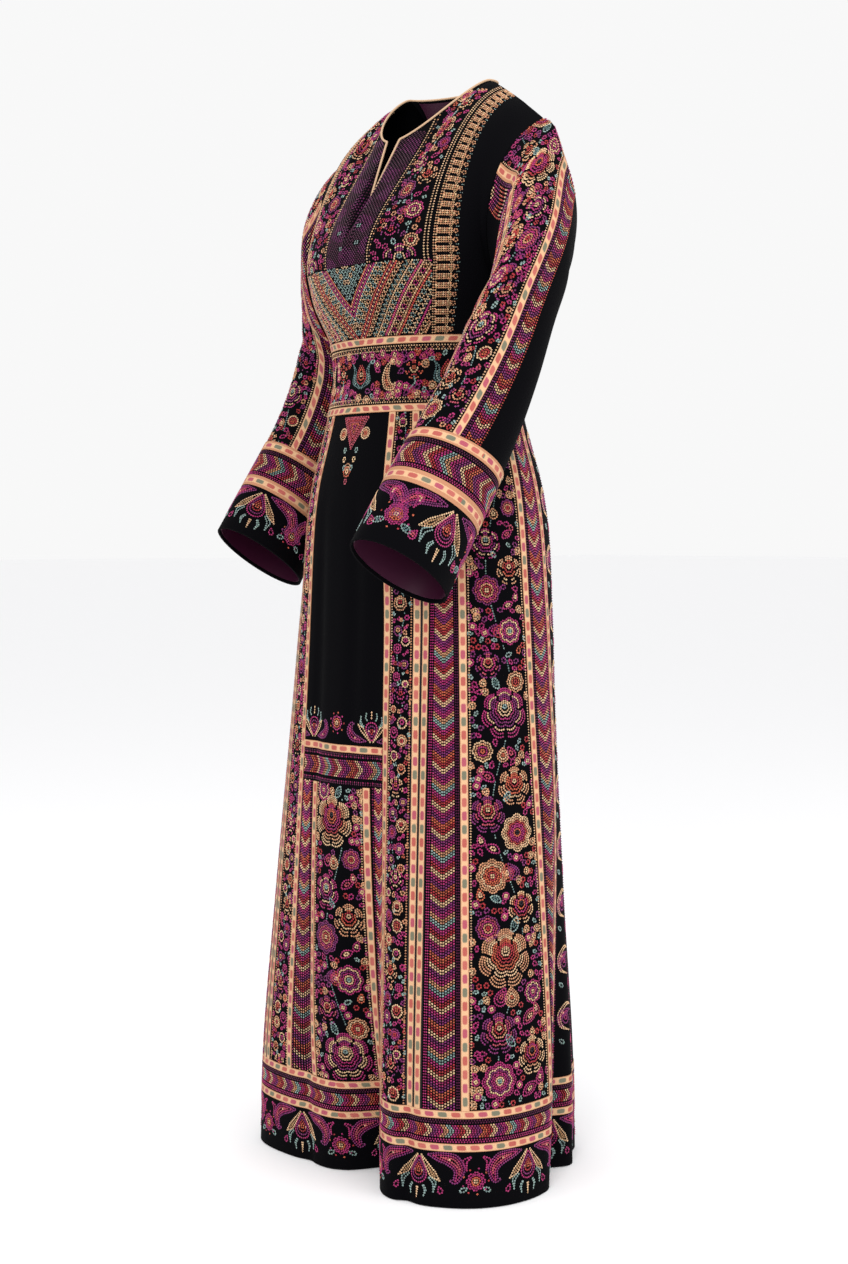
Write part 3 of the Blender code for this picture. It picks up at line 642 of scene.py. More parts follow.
for piece in pieces.values():
    clothSheet(piece)
print("cloth pieces made:", len(pieces))


# A cord round the neck edge and down both sides of the slit. Its seat is how far it stands
# off the edge, in radii, at the slit and elsewhere.
pipingLook = {"radius": 0.0015, "sides": 10, "steps": 260, "slitSeat": 0.50, "edgeSeat": 0.55}


def neckLoop():
    slit = cut["neckShare"] * math.asin(cut["slitHalf"] / cut["neckX"]) / (math.pi / 2)
    frontShares = np.concatenate((np.linspace(slit * 0.03, slit, 25)[:-1], np.linspace(slit, neckShare, 36)))
    backShares = np.linspace(neckShare, 0, 40)
    shares = np.concatenate((frontShares, backShares, -backShares[::-1][1:], -frontShares[::-1]))
    sides = np.concatenate((-np.ones(60), np.ones(40 + 39), -np.ones(60)))
    edge = np.where((sides > 0)[:, None], topEdge(shares, 1), topEdge(shares, -1))
    below = np.where((sides > 0)[:, None], yoke(shares, 0.94, 1), yoke(shares, 0.94, -1))
    along = np.gradient(edge, axis=0)
    along /= np.linalg.norm(along, axis=1, keepdims=True)
    off = edge - below
    off -= along * (off * along).sum(1, keepdims=True)
    inSlit = (sides < 0) & (np.abs(shares) < slit * 1.01)
    off[inSlit] = (0, -1, 0.35)
    off /= np.linalg.norm(off, axis=1, keepdims=True)
    seat = np.where(inSlit, pipingLook["slitSeat"], pipingLook["edgeSeat"])
    return edge + off * (pipingLook["radius"] * seat)[:, None]


def cordAlong(name, points, radius, sides, material, steps=0, flatten=1.0):
    points = np.asarray(points, float)
    if steps:
        run = np.concatenate(((0,), np.cumsum(np.linalg.norm(np.diff(points, axis=0), axis=1))))
        even = np.linspace(0, run[-1], steps)
        points = np.stack([np.interp(even, run, points[:, i]) for i in range(3)], -1)
    along = np.gradient(points, axis=0)
    along /= np.linalg.norm(along, axis=1, keepdims=True)
    side = np.array((1.0, 0.0, 0.0))
    verts = []
    for point, ahead in zip(points, along):
        side = side - ahead * side.dot(ahead)
        side /= np.linalg.norm(side)
        other = np.cross(ahead, side)
        turns = 2 * math.pi * np.arange(sides) / sides
        verts += list(
            point + radius * (np.outer(np.cos(turns), side) + flatten * np.outer(np.sin(turns), other))
        )
    faces = [tuple(range(sides))[::-1], tuple(range(len(verts) - sides, len(verts)))]
    for i in range(len(points) - 1):
        for k in range(sides):
            m = (k + 1) % sides
            faces.append((i * sides + k, i * sides + m, (i + 1) * sides + m, (i + 1) * sides + k))
    mesh = bpy.data.meshes.new(name)
    mesh.from_pydata([tuple(v) for v in verts], [], faces)
    mesh.shade_smooth()
    mesh.materials.append(material)
    made = bpy.data.objects.new(name, mesh)
    bpy.context.scene.collection.objects.link(made)
    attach(made, "root")
    return made


neckCord = cordAlong(
    "neck_cord", neckLoop(), pipingLook["radius"], pipingLook["sides"], piping, pipingLook["steps"]
)
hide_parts("neck_piping")
print("neck piping made")


# Thread colours and the size of one stitch, in metres.
threads = {
    "cream": (0.86, 0.54, 0.31), "peach": (0.72, 0.34, 0.18), "orange": (0.62, 0.13, 0.065),
    "red": (0.46, 0.035, 0.045),
    "rose": (0.55, 0.085, 0.13), "magenta": (0.46, 0.028, 0.165), "purple": (0.25, 0.028, 0.16),
    "plum": (0.11, 0.010, 0.055),
    "teal": (0.12, 0.21, 0.21), "paleTeal": (0.29, 0.41, 0.38), "ochre": (0.52, 0.29, 0.14),
    "dark": (0.012, 0.005, 0.012),
}
stitch = {
    "length": 0.0032, "width": 0.0027, "height": 0.0010, "pitch": 0.0031, "row": 0.0028, "colourSpread": 0.30,
    "seed": 7
}
random = np.random.default_rng(stitch["seed"])


# Stitches in a straight or curved row, each turned along the row. A kit is the list a panel collects.
def alongPath(kit, points, colour, spacing=None, size=(1.0, 1.0), closed=False):
    points = np.asarray(points, float)
    if closed:
        points = np.concatenate((points, points[:1]))
    steps = np.linalg.norm(np.diff(points, axis=0), axis=1)
    run = np.concatenate(((0,), np.cumsum(steps)))
    count = max(int(round(run[-1] / (spacing or stitch["pitch"]))), 1)
    at = (np.arange(count) + 0.5) / count * run[-1]
    x, y = np.interp(at, run, points[:, 0]), np.interp(at, run, points[:, 1])
    step = run[-1] / count * 0.3
    ahead = np.interp(at + step, run, points[:, 0]), np.interp(at + step, run, points[:, 1])
    behind = np.interp(at - step, run, points[:, 0]), np.interp(at - step, run, points[:, 1])
    turn = np.arctan2(ahead[1] - behind[1], ahead[0] - behind[0])
    addStitches(kit, x, y, turn, colour, size)


def addStitches(kit, x, y, turn, colour, size=(1.0, 1.0)):
    x, y, turn = np.broadcast_arrays(np.asarray(x, float), y, turn)
    names = [colour] if isinstance(colour, str) else colour
    chosen = np.array([threads[name] for name in names])[np.arange(x.size) % len(names)]
    sizes = np.tile((stitch["length"] * size[0], stitch["width"] * size[1]), (x.size, 1))
    kit.append(np.column_stack((x.ravel(), y.ravel(), turn.ravel(), sizes, chosen)))


# A shape filled with rows that follow its outline inwards. Colours run from the outside in.
def fillShape(kit, outline, colours, centre=None, row=None):
    outline = np.asarray(outline, float)
    centre = outline.mean(axis=0) if centre is None else np.asarray(centre, float)
    reach = np.linalg.norm(outline - centre, axis=1)
    depth = (np.median(reach) + reach.min()) / 2
    count = max(int(depth / (row or stitch["row"]) + 0.4), 1)
    for k in range(count):
        share = 1 - (k + 0.35) / count
        shrunk = centre + (outline - centre) * share
        alongPath(kit, shrunk, colours[min(int(k * len(colours) / count), len(colours) - 1)], closed=True)


def placed(outline, x, y, turn=0.0, size=1.0, mirror=1):
    c, s = math.cos(turn), math.sin(turn)
    points = np.asarray(outline, float) * (mirror * size, size)
    return points @ np.array(((c, s), (-s, c))) + (x, y)


# Outlines of size 1, growing towards -y.
around = np.linspace(0, 2 * math.pi, 49)[:-1]
along01 = np.linspace(0, 1, 25)


def lobed(lobes, depth):
    reach = 1 - depth + depth * np.abs(np.cos(lobes * around / 2))
    return np.stack((reach * np.sin(around), -reach * np.cos(around)), -1)


def tapered(width, skew, bend=0.0):
    half = width * np.sin(math.pi * along01**skew) ** 0.85
    middle = bend * along01**2
    right = np.stack((middle + half, -along01), -1)
    left = np.stack((middle - half, -along01), -1)
    return np.concatenate((right, left[::-1][1:-1]))


# The large flower. From the size gapsFrom up, dark gaps part its petals between two shares of it.
peonyLook = {"petals": 7, "centre": 0.30, "gapsFrom": 0.0115, "gap": 0.0017, "inner": 0.52, "outer": 0.90}
shapes = {
    "peony": lobed(peonyLook["petals"], 0.15), "round": lobed(6, 0.0), "rosette": lobed(8, 0.16),
    "rose": lobed(5, 0.20), "leaf": tapered(0.26, 1.0, 0.18),
    "drop": tapered(0.34, 0.62), "bud": tapered(0.42, 0.72),
}


# A curved shape filled with rows that run along it, for stems, curls and leaves.
def sweep(kit, spine, widths, colours, x=0.0, y=0.0, size=1.0, mirror=1, turn=0.0):
    knots = np.linspace(0, 1, len(spine))
    t = np.linspace(0, 1, 33)
    line = np.stack([np.interp(t, knots, np.asarray(spine, float)[:, k]) for k in (0, 1)], -1)
    for _ in range(6):
        line[1:-1] = (line[:-2] + 2 * line[1:-1] + line[2:]) / 4
    line = placed(line, x, y, turn, size, mirror)
    half = np.interp(t, knots, widths) * size
    ahead = np.gradient(line, axis=0)
    ahead /= np.linalg.norm(ahead, axis=1, keepdims=True)
    beside = np.stack((-ahead[:, 1], ahead[:, 0]), -1)
    lanes = max(int(half.max() / stitch["row"] + 0.5), 1)
    for k in range(lanes):
        off = half - (k + 0.5) * stitch["row"]
        keep = off > -0.2 * stitch["row"] if k else off > -1
        if keep.sum() < 3:
            continue
        colour = colours[min(int(k * len(colours) / lanes), len(colours) - 1)]
        off = np.maximum(off, 0)
        for side in (-1, 1) if off.max() > stitch["row"] * 0.3 else (1,):
            alongPath(kit, (line + side * beside * off[:, None])[keep], colour)


def motif(kit, shape, x, y, size, colours, turn=0.0, mirror=1):
    centre = (x, y - peonyLook["centre"] * size) if shape == "peony" else None
    start = len(kit)
    fillShape(kit, placed(shapes[shape], x, y, turn, size, mirror), colours, centre)
    if shape != "peony" or size < peonyLook["gapsFrom"]:
        return
    for i in range(start, len(kit)):  # dark lines between the petals
        away, up = kit[i][:, 0] - x, y - kit[i][:, 1]
        reach, petal = np.hypot(away, up), np.arctan2(away, up) * peonyLook["petals"] / (2 * math.pi)
        width = peonyLook["gap"] / np.maximum(reach, 0.001) * peonyLook["petals"] / (2 * math.pi)
        gap = np.abs(petal - np.floor(petal) - 0.5) < width
        ring = (reach > peonyLook["inner"] * size) & (reach < peonyLook["outer"] * size)
        kit[i] = kit[i][~(gap & ring)]


# Rows of slanting stitches that meet in points, between x0 and x1. The points look towards +y.
chevronCycle = (
    "magenta", "purple", "orange", "red", "cream", "purple", "magenta", "peach", "paleTeal", "magenta", "red",
    "cream"
)


def chevrons(kit, centre, half, y0, y1, cycle=chevronCycle, pitch=0.0034, slope=0.85, lying=False):
    middle = half((y0 + y1) / 2)
    lanes = max(int(round(middle / 0.0029)), 2)
    for k in range(-int(middle * slope / pitch) - 2, int((y1 - y0) / pitch) + 1):
        colour = cycle[(k // 2) % len(cycle)]
        share = (np.arange(lanes) + 0.5) / lanes
        y = y0 + k * pitch + (1 - share) * middle * slope
        inside = (y > y0) & (y < y1)
        share, y = share[inside], y[inside]
        for side in (-1, 1):
            turn, x = math.atan2(-slope * side, 1), centre + side * share * half(y)
            if lying:
                addStitches(kit, y, x, math.pi / 2 - turn, colour, (0.98, 0.98))
            else:
                addStitches(kit, x, y, turn, colour, (0.98, 0.98))


chestWidth = 0.2  # metres of cloth to one share across the front


# The cloth's own coordinates for places on a panel. Across is from the middle of the panel and
# down is from its top, in metres of cloth. The chest is measured up from its seam instead.
def readGrid(grid, row, column):
    low, left = row.astype(int), column.astype(int)
    low, left = np.clip(low, 0, grid.shape[0] - 2), np.clip(left, 0, grid.shape[1] - 2)
    down, beside = row - low, column - left
    upper = grid[low, left] * (1 - beside) + grid[low, left + 1] * beside
    lower = grid[low + 1, left] * (1 - beside) + grid[low + 1, left + 1] * beside
    return upper * (1 - down) + lower * down


def chestPlace(piece, across, down):
    y = piece["y"]
    rows, columns = y.shape
    column = np.clip((across / chestWidth + inner) / (2 * inner), 0, 1) * (columns - 1)
    left = np.clip(column.astype(int), 0, columns - 2)
    row, room = np.zeros((2, len(across))), np.zeros((2, len(across)))
    for k in (0, 1):
        for c in np.unique(left + k):
            chosen = left + k == c
            row[k, chosen] = np.interp(y[-1, c] + down[chosen], y[:, c], np.arange(rows))
            room[k, chosen] = y[-1, c]
    share = column - left
    inside = (-down < room[0] * (1 - share) + room[1] * share - 0.0022) & (down < -0.0008)
    return row[0] * (1 - share) + row[1] * share, column, inside & (
        np.abs(across) < inner * chestWidth - 0.0006
    )


def panelPlace(piece, across, down):
    x, y = piece["x"], piece["y"]
    rows, columns = x.shape
    middle = y[:, columns // 2]
    row = np.interp(down, middle, np.arange(rows))
    low = np.clip(row.astype(int), 0, rows - 2)
    share = (row - low)[:, None]
    line = x[low] * (1 - share) + x[low + 1] * share
    column = np.clip((line <= across[:, None]).sum(axis=1) - 1, 0, columns - 2)
    each = np.arange(len(across))
    start, end = line[each, column], line[each, column + 1]
    margin = 0 if piece.get("ring") else 0.0006
    inside = (down > 0.0008) & (down < middle[-1] - 0.0008) & (np.abs(across) < line[:, -1] - margin)
    return row, column + np.clip((across - start) / np.maximum(end - start, 1e-9), 0, 1), inside


# Places on the cloth in space, with the directions out of it, across it and down it.
def onCloth(piece, across, down):
    row, column, inside = (chestPlace if piece["name"] == "chest_panel" else panelPlace)(piece, across, down)
    u, v = gridOf(piece)
    atU, atV = readGrid(u, row, column), readGrid(v, row, column)
    surface = piece["surface"]
    out = normalOf(surface, atU, atV, piece.get("flip", 1))
    sign = 1 if u[0, -1] > u[0, 0] else -1
    beside = (surface(atU + 1e-3, atV) - surface(atU - 1e-3, atV)) * sign
    beside -= out * (beside * out).sum(1, keepdims=True)
    beside /= np.linalg.norm(beside, axis=1, keepdims=True)
    sign = 1 if v[-1, 0] > v[0, 0] else -1
    drop = (surface(atU, atV + 1e-3) - surface(atU, atV - 1e-3)) * sign
    below = np.cross(out, beside)
    below = below if (below * drop).sum() > 0 else -below
    return surface(atU, atV) + out * piece.get("high", 0.0), out, beside, below, inside


# How bright the thread is painted from its foot (0) to its peak (1): a ring with a dark middle. Both dark
# parts are painted shade: at the foot where the stitch meets the cloth, and in the ring's hollow middle.
paintedStitchShade = ((0.0, 0.20), (0.14, 0.75), (0.30, 1.0), (0.50, 0.90), (0.66, 0.30), (0.80, 0.08))


def threadMaterial():
    made = bpy.data.materials.new("thread")
    made.use_nodes = True
    tree = made.node_tree
    shader = tree.nodes["Principled BSDF"]
    shader.inputs["Roughness"].default_value = 0.45
    shader.inputs["Specular IOR Level"].default_value = 0.30
    colour = tree.nodes.new("ShaderNodeAttribute")
    colour.attribute_name = "threadColor"
    nodes = tree.nodes
    crown = nodes.new("ShaderNodeAttribute")
    crown.attribute_name = "crown"
    ramp = nodes.new("ShaderNodeValToRGB")
    while len(ramp.color_ramp.elements) < len(paintedStitchShade):
        ramp.color_ramp.elements.new(0.5)
    for element, (place, shade) in zip(ramp.color_ramp.elements, paintedStitchShade):
        element.position, element.color = place, (shade, shade, shade, 1)
    # The thread colour is multiplied by the painted shade for this height of the stitch.
    shaded = nodes.new("ShaderNodeMix")
    shaded.data_type, shaded.blend_type = "RGBA", "MULTIPLY"
    shaded.inputs[0].default_value = 1.0
    tree.links.new(crown.outputs["Fac"], ramp.inputs["Fac"])
    tree.links.new(colour.outputs["Color"], shaded.inputs[6])
    tree.links.new(ramp.outputs["Color"], shaded.inputs[7])
    tree.links.new(shaded.outputs[2], shader.inputs["Base Color"])
    return made


threadLook = threadMaterial()


# One low bead of thread at every point, turned and sized by the point's own values.
def stitchTree():
    tree = bpy.data.node_groups.new("stitches", "GeometryNodeTree")
    face = tree.interface
    face.new_socket("Geometry", in_out="INPUT", socket_type="NodeSocketGeometry")
    for name in ("Stitch height", "Stitch width"):
        face.new_socket(name, in_out="INPUT", socket_type="NodeSocketFloat")
    face.new_socket("Geometry", in_out="OUTPUT", socket_type="NodeSocketGeometry")
    nodes, link = tree.nodes, tree.links.new
    start, end = nodes.new("NodeGroupInput"), nodes.new("NodeGroupOutput")
    bead = nodes.new("GeometryNodeMeshCone")
    bead.fill_type = "NONE"
    bead.inputs["Vertices"].default_value = 4
    bead.inputs["Radius Top"].default_value = 0.0
    bead.inputs["Depth"].default_value = 1.0
    link(start.outputs["Stitch width"], bead.inputs["Radius Bottom"])
    # The height of each point of the bead, which the thread material turns into painted shade.
    crown, position, height = (
        nodes.new(kind)
        for kind in ("GeometryNodeStoreNamedAttribute", "GeometryNodeInputPosition", "ShaderNodeSeparateXYZ")
    )
    crown.data_type, crown.domain = "FLOAT", "POINT"
    crown.inputs["Name"].default_value = "crown"
    link(position.outputs[0], height.inputs[0])
    link(height.outputs[2], crown.inputs["Value"])
    link(bead.outputs["Mesh"], crown.inputs["Geometry"])

    def named(kind, name):
        node = nodes.new("GeometryNodeInputNamedAttribute")
        node.data_type = kind
        node.inputs["Name"].default_value = name
        return node.outputs["Attribute"]

    turned = nodes.new("FunctionNodeAxesToRotation")
    turned.primary_axis, turned.secondary_axis = "Z", "X"
    link(named("FLOAT_VECTOR", "facing"), turned.inputs["Primary Axis"])
    link(named("FLOAT_VECTOR", "heading"), turned.inputs["Secondary Axis"])
    size = nodes.new("ShaderNodeCombineXYZ")
    parts = nodes.new("ShaderNodeSeparateXYZ")
    link(named("FLOAT_VECTOR", "size"), parts.inputs[0])
    link(parts.outputs[0], size.inputs[0])
    link(parts.outputs[1], size.inputs[1])
    link(start.outputs["Stitch height"], size.inputs[2])
    repeat = nodes.new("GeometryNodeInstanceOnPoints")
    link(start.outputs["Geometry"], repeat.inputs["Points"])
    link(crown.outputs["Geometry"], repeat.inputs["Instance"])
    link(turned.outputs["Rotation"], repeat.inputs["Rotation"])
    link(size.outputs[0], repeat.inputs["Scale"])
    whole = nodes.new("GeometryNodeRealizeInstances")
    link(repeat.outputs["Instances"], whole.inputs["Geometry"])
    dress = nodes.new("GeometryNodeSetMaterial")
    dress.inputs["Material"].default_value = threadLook
    link(whole.outputs["Geometry"], dress.inputs["Geometry"])
    link(dress.outputs["Geometry"], end.inputs["Geometry"])
    return tree


stitching = stitchTree()
stitchCount = {}


# A square of the texture for every stitch: its peak in the middle and its foot in the corners.
def threadCells(mesh, count):
    across = math.ceil(math.sqrt(count))
    peak = np.zeros(len(mesh.vertices), np.float32)
    mesh.attributes["crown"].data.foreach_get("value", peak)
    owner = np.zeros(len(mesh.loops), np.int32)
    mesh.loops.foreach_get("vertex_index", owner)
    perStitch = len(mesh.vertices) // count
    number, turn = owner // perStitch, owner % perStitch
    feet = np.where(peak.reshape(count, perStitch)[0] < 0.5)[0]
    angle = np.zeros(perStitch)
    angle[feet] = math.pi / 4 + np.arange(len(feet)) * math.pi / 2
    reach = np.where(peak[owner] < 0.5, 0.42 * math.sqrt(2), 0.0)
    u = (number % across + 0.5 + reach * np.cos(angle[turn])) / across
    v = (number // across + 0.5 + reach * np.sin(angle[turn])) / across
    layer = mesh.uv_layers.new(name="OFBake")
    layer.data.foreach_set("uv", np.stack((u, v), -1).astype(np.float32).ravel())


def embroider(name, kit):
    piece = pieces[name]
    table = np.concatenate(kit)
    if piece.get("ring"):  # a ring's panels are drawn from its front and cut at its back
        half = np.interp(table[:, 1], piece["y"][:, piece["y"].shape[1] // 2], piece["x"][:, -1])
        table[:, 0] *= half / piece["x"][0, -1]
        table[:, 0] = (table[:, 0] + half) % (2 * half) - half
        table[:, 0] += np.where(table[:, 0] > 0, -half, half)
    place, out, beside, down, inside = onCloth(piece, table[:, 0], table[:, 1])
    table, place, out, beside, down = (part[inside] for part in (table, place, out, beside, down))
    x, _, turn, long, wide = table[:, :5].T
    spread = 1 + stitch[
        "colourSpread"
    ] * random.uniform(-1, 1, (len(x), 1)) + 0.05 * random.uniform(-1, 1, (len(x), 3))
    colours = np.clip(table[:, 5:8] * spread, 0, 1)
    heading = beside * np.cos(turn)[:, None] + down * np.sin(turn)[:, None]
    points = bpy.data.meshes.new(name + "Points")
    points.from_pydata(place.tolist(), [], [])
    for title, kind, values in (
        ("facing", "FLOAT_VECTOR", out), ("heading", "FLOAT_VECTOR", heading),
        ("size", "FLOAT_VECTOR", np.stack((long, wide, 0 * long), -1) * 1000),
        ("threadColor", "FLOAT_COLOR", np.column_stack((colours, np.ones(len(x))))),
    ):
        layer = points.attributes.new(title, kind, "POINT")
        layer.data.foreach_set(
            "color" if kind == "FLOAT_COLOR" else "vector", values.astype(np.float32).reshape(-1)
        )
    carrier = bpy.data.objects.new(name + "Carrier", points)
    bpy.context.scene.collection.objects.link(carrier)
    modifier = carrier.modifiers.new("stitches", "NODES")
    modifier.node_group = stitching
    for socket in stitching.interface.items_tree:
        if socket.in_out == "INPUT" and socket.socket_type == "NodeSocketFloat":
            modifier[socket.identifier] = stitch["height"] if socket.name == "Stitch height" else 0.0005
    shown = carrier.evaluated_get(bpy.context.evaluated_depsgraph_get())
    mesh = bpy.data.meshes.new_from_object(shown)
    bpy.data.objects.remove(carrier)
    for title in ("facing", "heading", "size"):
        if title in mesh.attributes:
            mesh.attributes.remove(mesh.attributes[title])
    threadCells(mesh, len(x))
    made = bpy.data.objects.new("threads_" + name, mesh)
    bpy.context.scene.collection.objects.link(made)
    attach(made, "root")
    stitchCount[name] = len(x)
    return made


# A ribbon sewn along a line drawn on a panel, as a thin wall of its own on that cloth.
def laidRibbon(name, parent, path, width, material, raise_=0.0012):
    path = np.asarray(path, float)
    ahead = np.gradient(path, axis=0)
    ahead /= np.linalg.norm(ahead, axis=1, keepdims=True)
    offsets = np.linspace(-width / 2, width / 2, 5)
    grid = path[:, None, :] + offsets[None, :, None] * np.stack((-ahead[:, 1], ahead[:, 0]), -1)[:, None, :]
    spots = onCloth(pieces[parent], grid[..., 0].ravel(), grid[..., 1].ravel())[:2]
    place, out = (part.reshape(*grid.shape[:2], 3) for part in spots)
    run = np.concatenate(((0,), np.cumsum(np.linalg.norm(np.diff(path, axis=0), axis=1))))
    x, y = np.broadcast_arrays(offsets[None, :], run[:, None])
    made = wallObject(name, place + out * raise_, place - out * 0.0002, x, y, material)
    return made


# Half width of a panel at any distance down it, and its length.
def panelSize(name):
    piece = pieces[name]
    middle, halves = piece["y"][:, piece["y"].shape[1] // 2], piece["x"][:, -1]
    return (lambda y: np.interp(y, middle, halves)), middle[-1]


# Dots that run down both edges of a panel, at this distance from them.
def edgeDots(kit, half, length, inset, colour, pitch=0.0034, size=(0.7, 1.0), sides=(-1, 1)):
    y = np.arange(pitch / 2, length, pitch)
    for side in sides:
        addStitches(
            kit, side * (half(y) - inset), y + (pitch / 2 if side > 0 else 0), math.pi / 2, colour, size
        )


# Small motifs in whatever room is left between the larger ones.
def sprinkle(kit, taken, half, y0, y1, spacing=0.0108, size=1.35, seed=3, inset=0.006):
    place = np.random.default_rng(seed)
    rows = np.arange(y0 + spacing / 2, y1, spacing)
    for i, y in enumerate(rows):
        room = float(half(y)) - inset
        for x in np.arange(-room, room, spacing) + (spacing / 2 if i % 2 else 0):
            atX, atY = x + place.uniform(-0.0018, 0.0018), y + place.uniform(-0.0018, 0.0018)
            kind, turn = place.integers(0, 7), place.uniform(0, 2 * math.pi)
            if any((atX - tx) ** 2 + (atY - ty) ** 2 < (r + 0.0027 * size) ** 2 for tx, ty, r in taken):
                continue
            shape, reach, colours = (
                ("leaf", 0.0088, ("paleTeal", "teal")), ("drop", 0.0105, ("magenta", "rose")),
                ("rosette", 0.0046, ("magenta", "cream")),
                ("bud", 0.0098, ("peach", "cream")), ("drop", 0.0098, ("purple", "magenta")),
                ("leaf", 0.0100, ("magenta", "rose")),
                ("bud", 0.0085, ("red", "orange")),
            )[kind]
            lift = -0.5 * reach * size if shape in ("leaf", "drop", "bud") else 0.0
            motif(
                kit, shape, atX + lift * math.sin(turn), atY - lift * math.cos(turn), reach * size, colours,
                turn
            )


bloomColours = (
    ("cream", "peach", "red", "magenta", "orange", "dark"),
    ("magenta", "cream", "purple", "magenta", "cream", "paleTeal"),
    ("peach", "cream", "orange", "red", "cream"), ("purple", "rose", "magenta", "peach", "red", "cream"),
)
# One length of a flower strip. Places and sizes are shares of the room at either side.
flowerStrip = {
    "long": 7.6,
    "blooms": (
        (0.00, -0.14, "peony", 0.86, 0), (0.30, -0.38, "peony", 0.60, 1), (0.49, -0.40, "rosette", 0.56, 3),
        (0.41, 0.55, "peony", 0.56, 2),
        (0.66, 0.46, "rosette", 0.50, 1), (0.80, -0.42, "peony", 0.48, 3), (0.15, 0.68, "rosette", 0.36, 3),
        (0.87, 0.62, "rosette", 0.38, 2),
    ),
    "leaves": (
        (0.19, -0.42, "drop", 0.52, ("magenta", "rose"), 0.5),
        (0.20, 0.02, "bud", 0.50, ("peach", "cream", "orange"), -0.1),
        (0.28, 0.28, "leaf", 0.62, ("magenta", "rose", "cream"), 0.8),
        (0.68, -0.34, "drop", 0.56, ("purple", "magenta"), 0.6),
        (0.69, -0.02, "bud", 0.52, ("red", "orange", "cream"), 0.1),
        (0.57, 0.18, "leaf", 0.56, ("magenta", "cream"), 0.9),
        (0.90, -0.02, "leaf", 0.52, ("paleTeal", "teal"), -0.7),
        (0.36, 0.06, "leaf", 0.42, ("paleTeal", "teal"), -0.9),
        (0.77, 0.20, "leaf", 0.40, ("paleTeal", "teal"), 0.9),
        (0.54, 0.72, "drop", 0.40, ("magenta", "cream"), 0.3),
        (0.25, 0.80, "drop", 0.36, ("rose", "cream"), -0.3),
        (0.76, 0.78, "drop", 0.36, ("orange", "cream"), 0.2),
    ),
}


# A winding stem with large blooms at either side of it, leaves, buds and small flowers.
def floral(kit, half, y0, y1, phase=0.0, inset=0.0060, seed=1, fine=1.0, mirror=1, spacing=0.0075):
    room = float(half((y0 + y1) / 2)) - inset
    repeat = flowerStrip["long"] * room * (1.0 if room > 0.012 else 1.25)
    taken = []
    for k in range(-1, int((y1 - y0) / repeat) + 2):
        side = mirror * (1 if k % 2 == 0 else -1)
        start = y0 + (k + phase) * repeat
        for down, across, shape, size, colour in flowerStrip["blooms"]:
            at = start + down * repeat
            if not y0 - 0.5 * size * room < at < y1 + 0.5 * size * room:
                continue
            here = float(half(np.clip(at, y0, y1))) - inset
            x, reach = side * across * here, size * min(here, room * 1.1)
            motif(kit, shape, x, at, reach, bloomColours[(colour + k) % len(bloomColours)])
            taken.append((x, at, reach))
        for down, across, shape, size, colours, turn in flowerStrip["leaves"]:
            at = start + down * repeat
            if not y0 < at < y1:
                continue
            here = float(half(at)) - inset
            x, reach = side * across * here, size * here
            motif(kit, shape, x, at, reach, colours, side * turn, side)
            middle = (x + 0.5 * reach * math.sin(side * turn), at - 0.5 * reach * math.cos(turn))
            taken.append((*middle, reach * 0.40))
    y = np.arange(y0, y1, stitch["pitch"])
    x = mirror * 0.42 * (half(y) - inset) * np.sin(2 * math.pi * (y - y0) / repeat + 0.6)
    free = np.array(
        [all((a - tx) ** 2 + (b - ty) ** 2 > (r + 0.001) ** 2 for tx, ty, r in taken) for a, b in zip(x, y)]
    )
    turn = np.arctan2(np.gradient(y), np.gradient(x))
    addStitches(kit, x[free], y[free], turn[free], ("paleTeal", "teal"), (0.9, 0.8))
    taken += [(a, b, 0.0010) for a, b in zip(x, y)]
    sprinkle(kit, taken, half, y0, y1, spacing=spacing * fine, size=fine, seed=seed, inset=inset * 0.8)
    return taken


# Panels down the skirt, both sides alike.
for word in ("left", "right"):
    half, length = panelSize(f"skirt_floral_{word}")
    kit = []
    edgeDots(kit, half, length, 0.0028, "cream")
    floral(kit, half, 0.004, length - 0.002, phase=0.25, seed=11, fine=1.2)
    embroider(f"skirt_floral_{word}", kit)

    half, length = panelSize(f"skirt_vine_{word}")
    kit = []
    edgeDots(kit, half, length, 0.0022, "cream", sides=(-1,))
    edgeDots(kit, half, length, 0.0022, "peach", sides=(1,))
    floral(kit, half, 0.003, length - 0.002, phase=0.1, inset=0.0042, seed=12, fine=0.9)
    embroider(f"skirt_vine_{word}", kit)

    for where, dots in (("front", ("magenta", "plum")), ("back", ("plum", "magenta"))):
        half, length = panelSize(f"skirt_chevron_{where}_{word}")
        kit = []
        for side, colour in zip((-1, 1), dots):
            for inset in (0.0022, 0.0048):
                edgeDots(kit, half, length, inset, colour, sides=(side,))
        chevrons(kit, 0.0, lambda y: half(y) - 0.0068, 0.001, length)
        embroider(f"skirt_chevron_{where}_{word}", kit)
print("skirt strips embroidered")


# The sleeves: a chevron strip on both sides of the flowers, and the cuffs.
for word in mirrorOf:
    half, length = panelSize(f"sleeve_{word}_floral")
    kit = []
    edgeDots(kit, half, length, 0.0026, "cream")
    floral(kit, half, 0.002, length, phase=0.35, seed=21, mirror=mirrorOf[word])
    embroider(f"sleeve_{word}_floral", kit)
    for where, side in (("front", 1), ("back", -1)):
        half, length = panelSize(f"sleeve_{word}_chevron_{where}")
        kit = []
        edgeDots(kit, half, length, 0.0018, ("red", "orange"), sides=(side,))
        for inset in (0.0020, 0.0046):
            edgeDots(kit, half, length, inset, ("plum", "purple"), sides=(-side,))
        chevrons(kit, side * 0.0014, lambda y: half(y) - 0.0050, 0.001, length)
        embroider(f"sleeve_{word}_chevron_{where}", kit)


# A kit turned a quarter, so that what ran down runs across, or moved and mirrored.
def swapped(kit, y):
    return [np.column_stack((t[:, 1], t[:, 0] + y, math.pi / 2 - t[:, 2], t[:, 3:])) for t in kit]


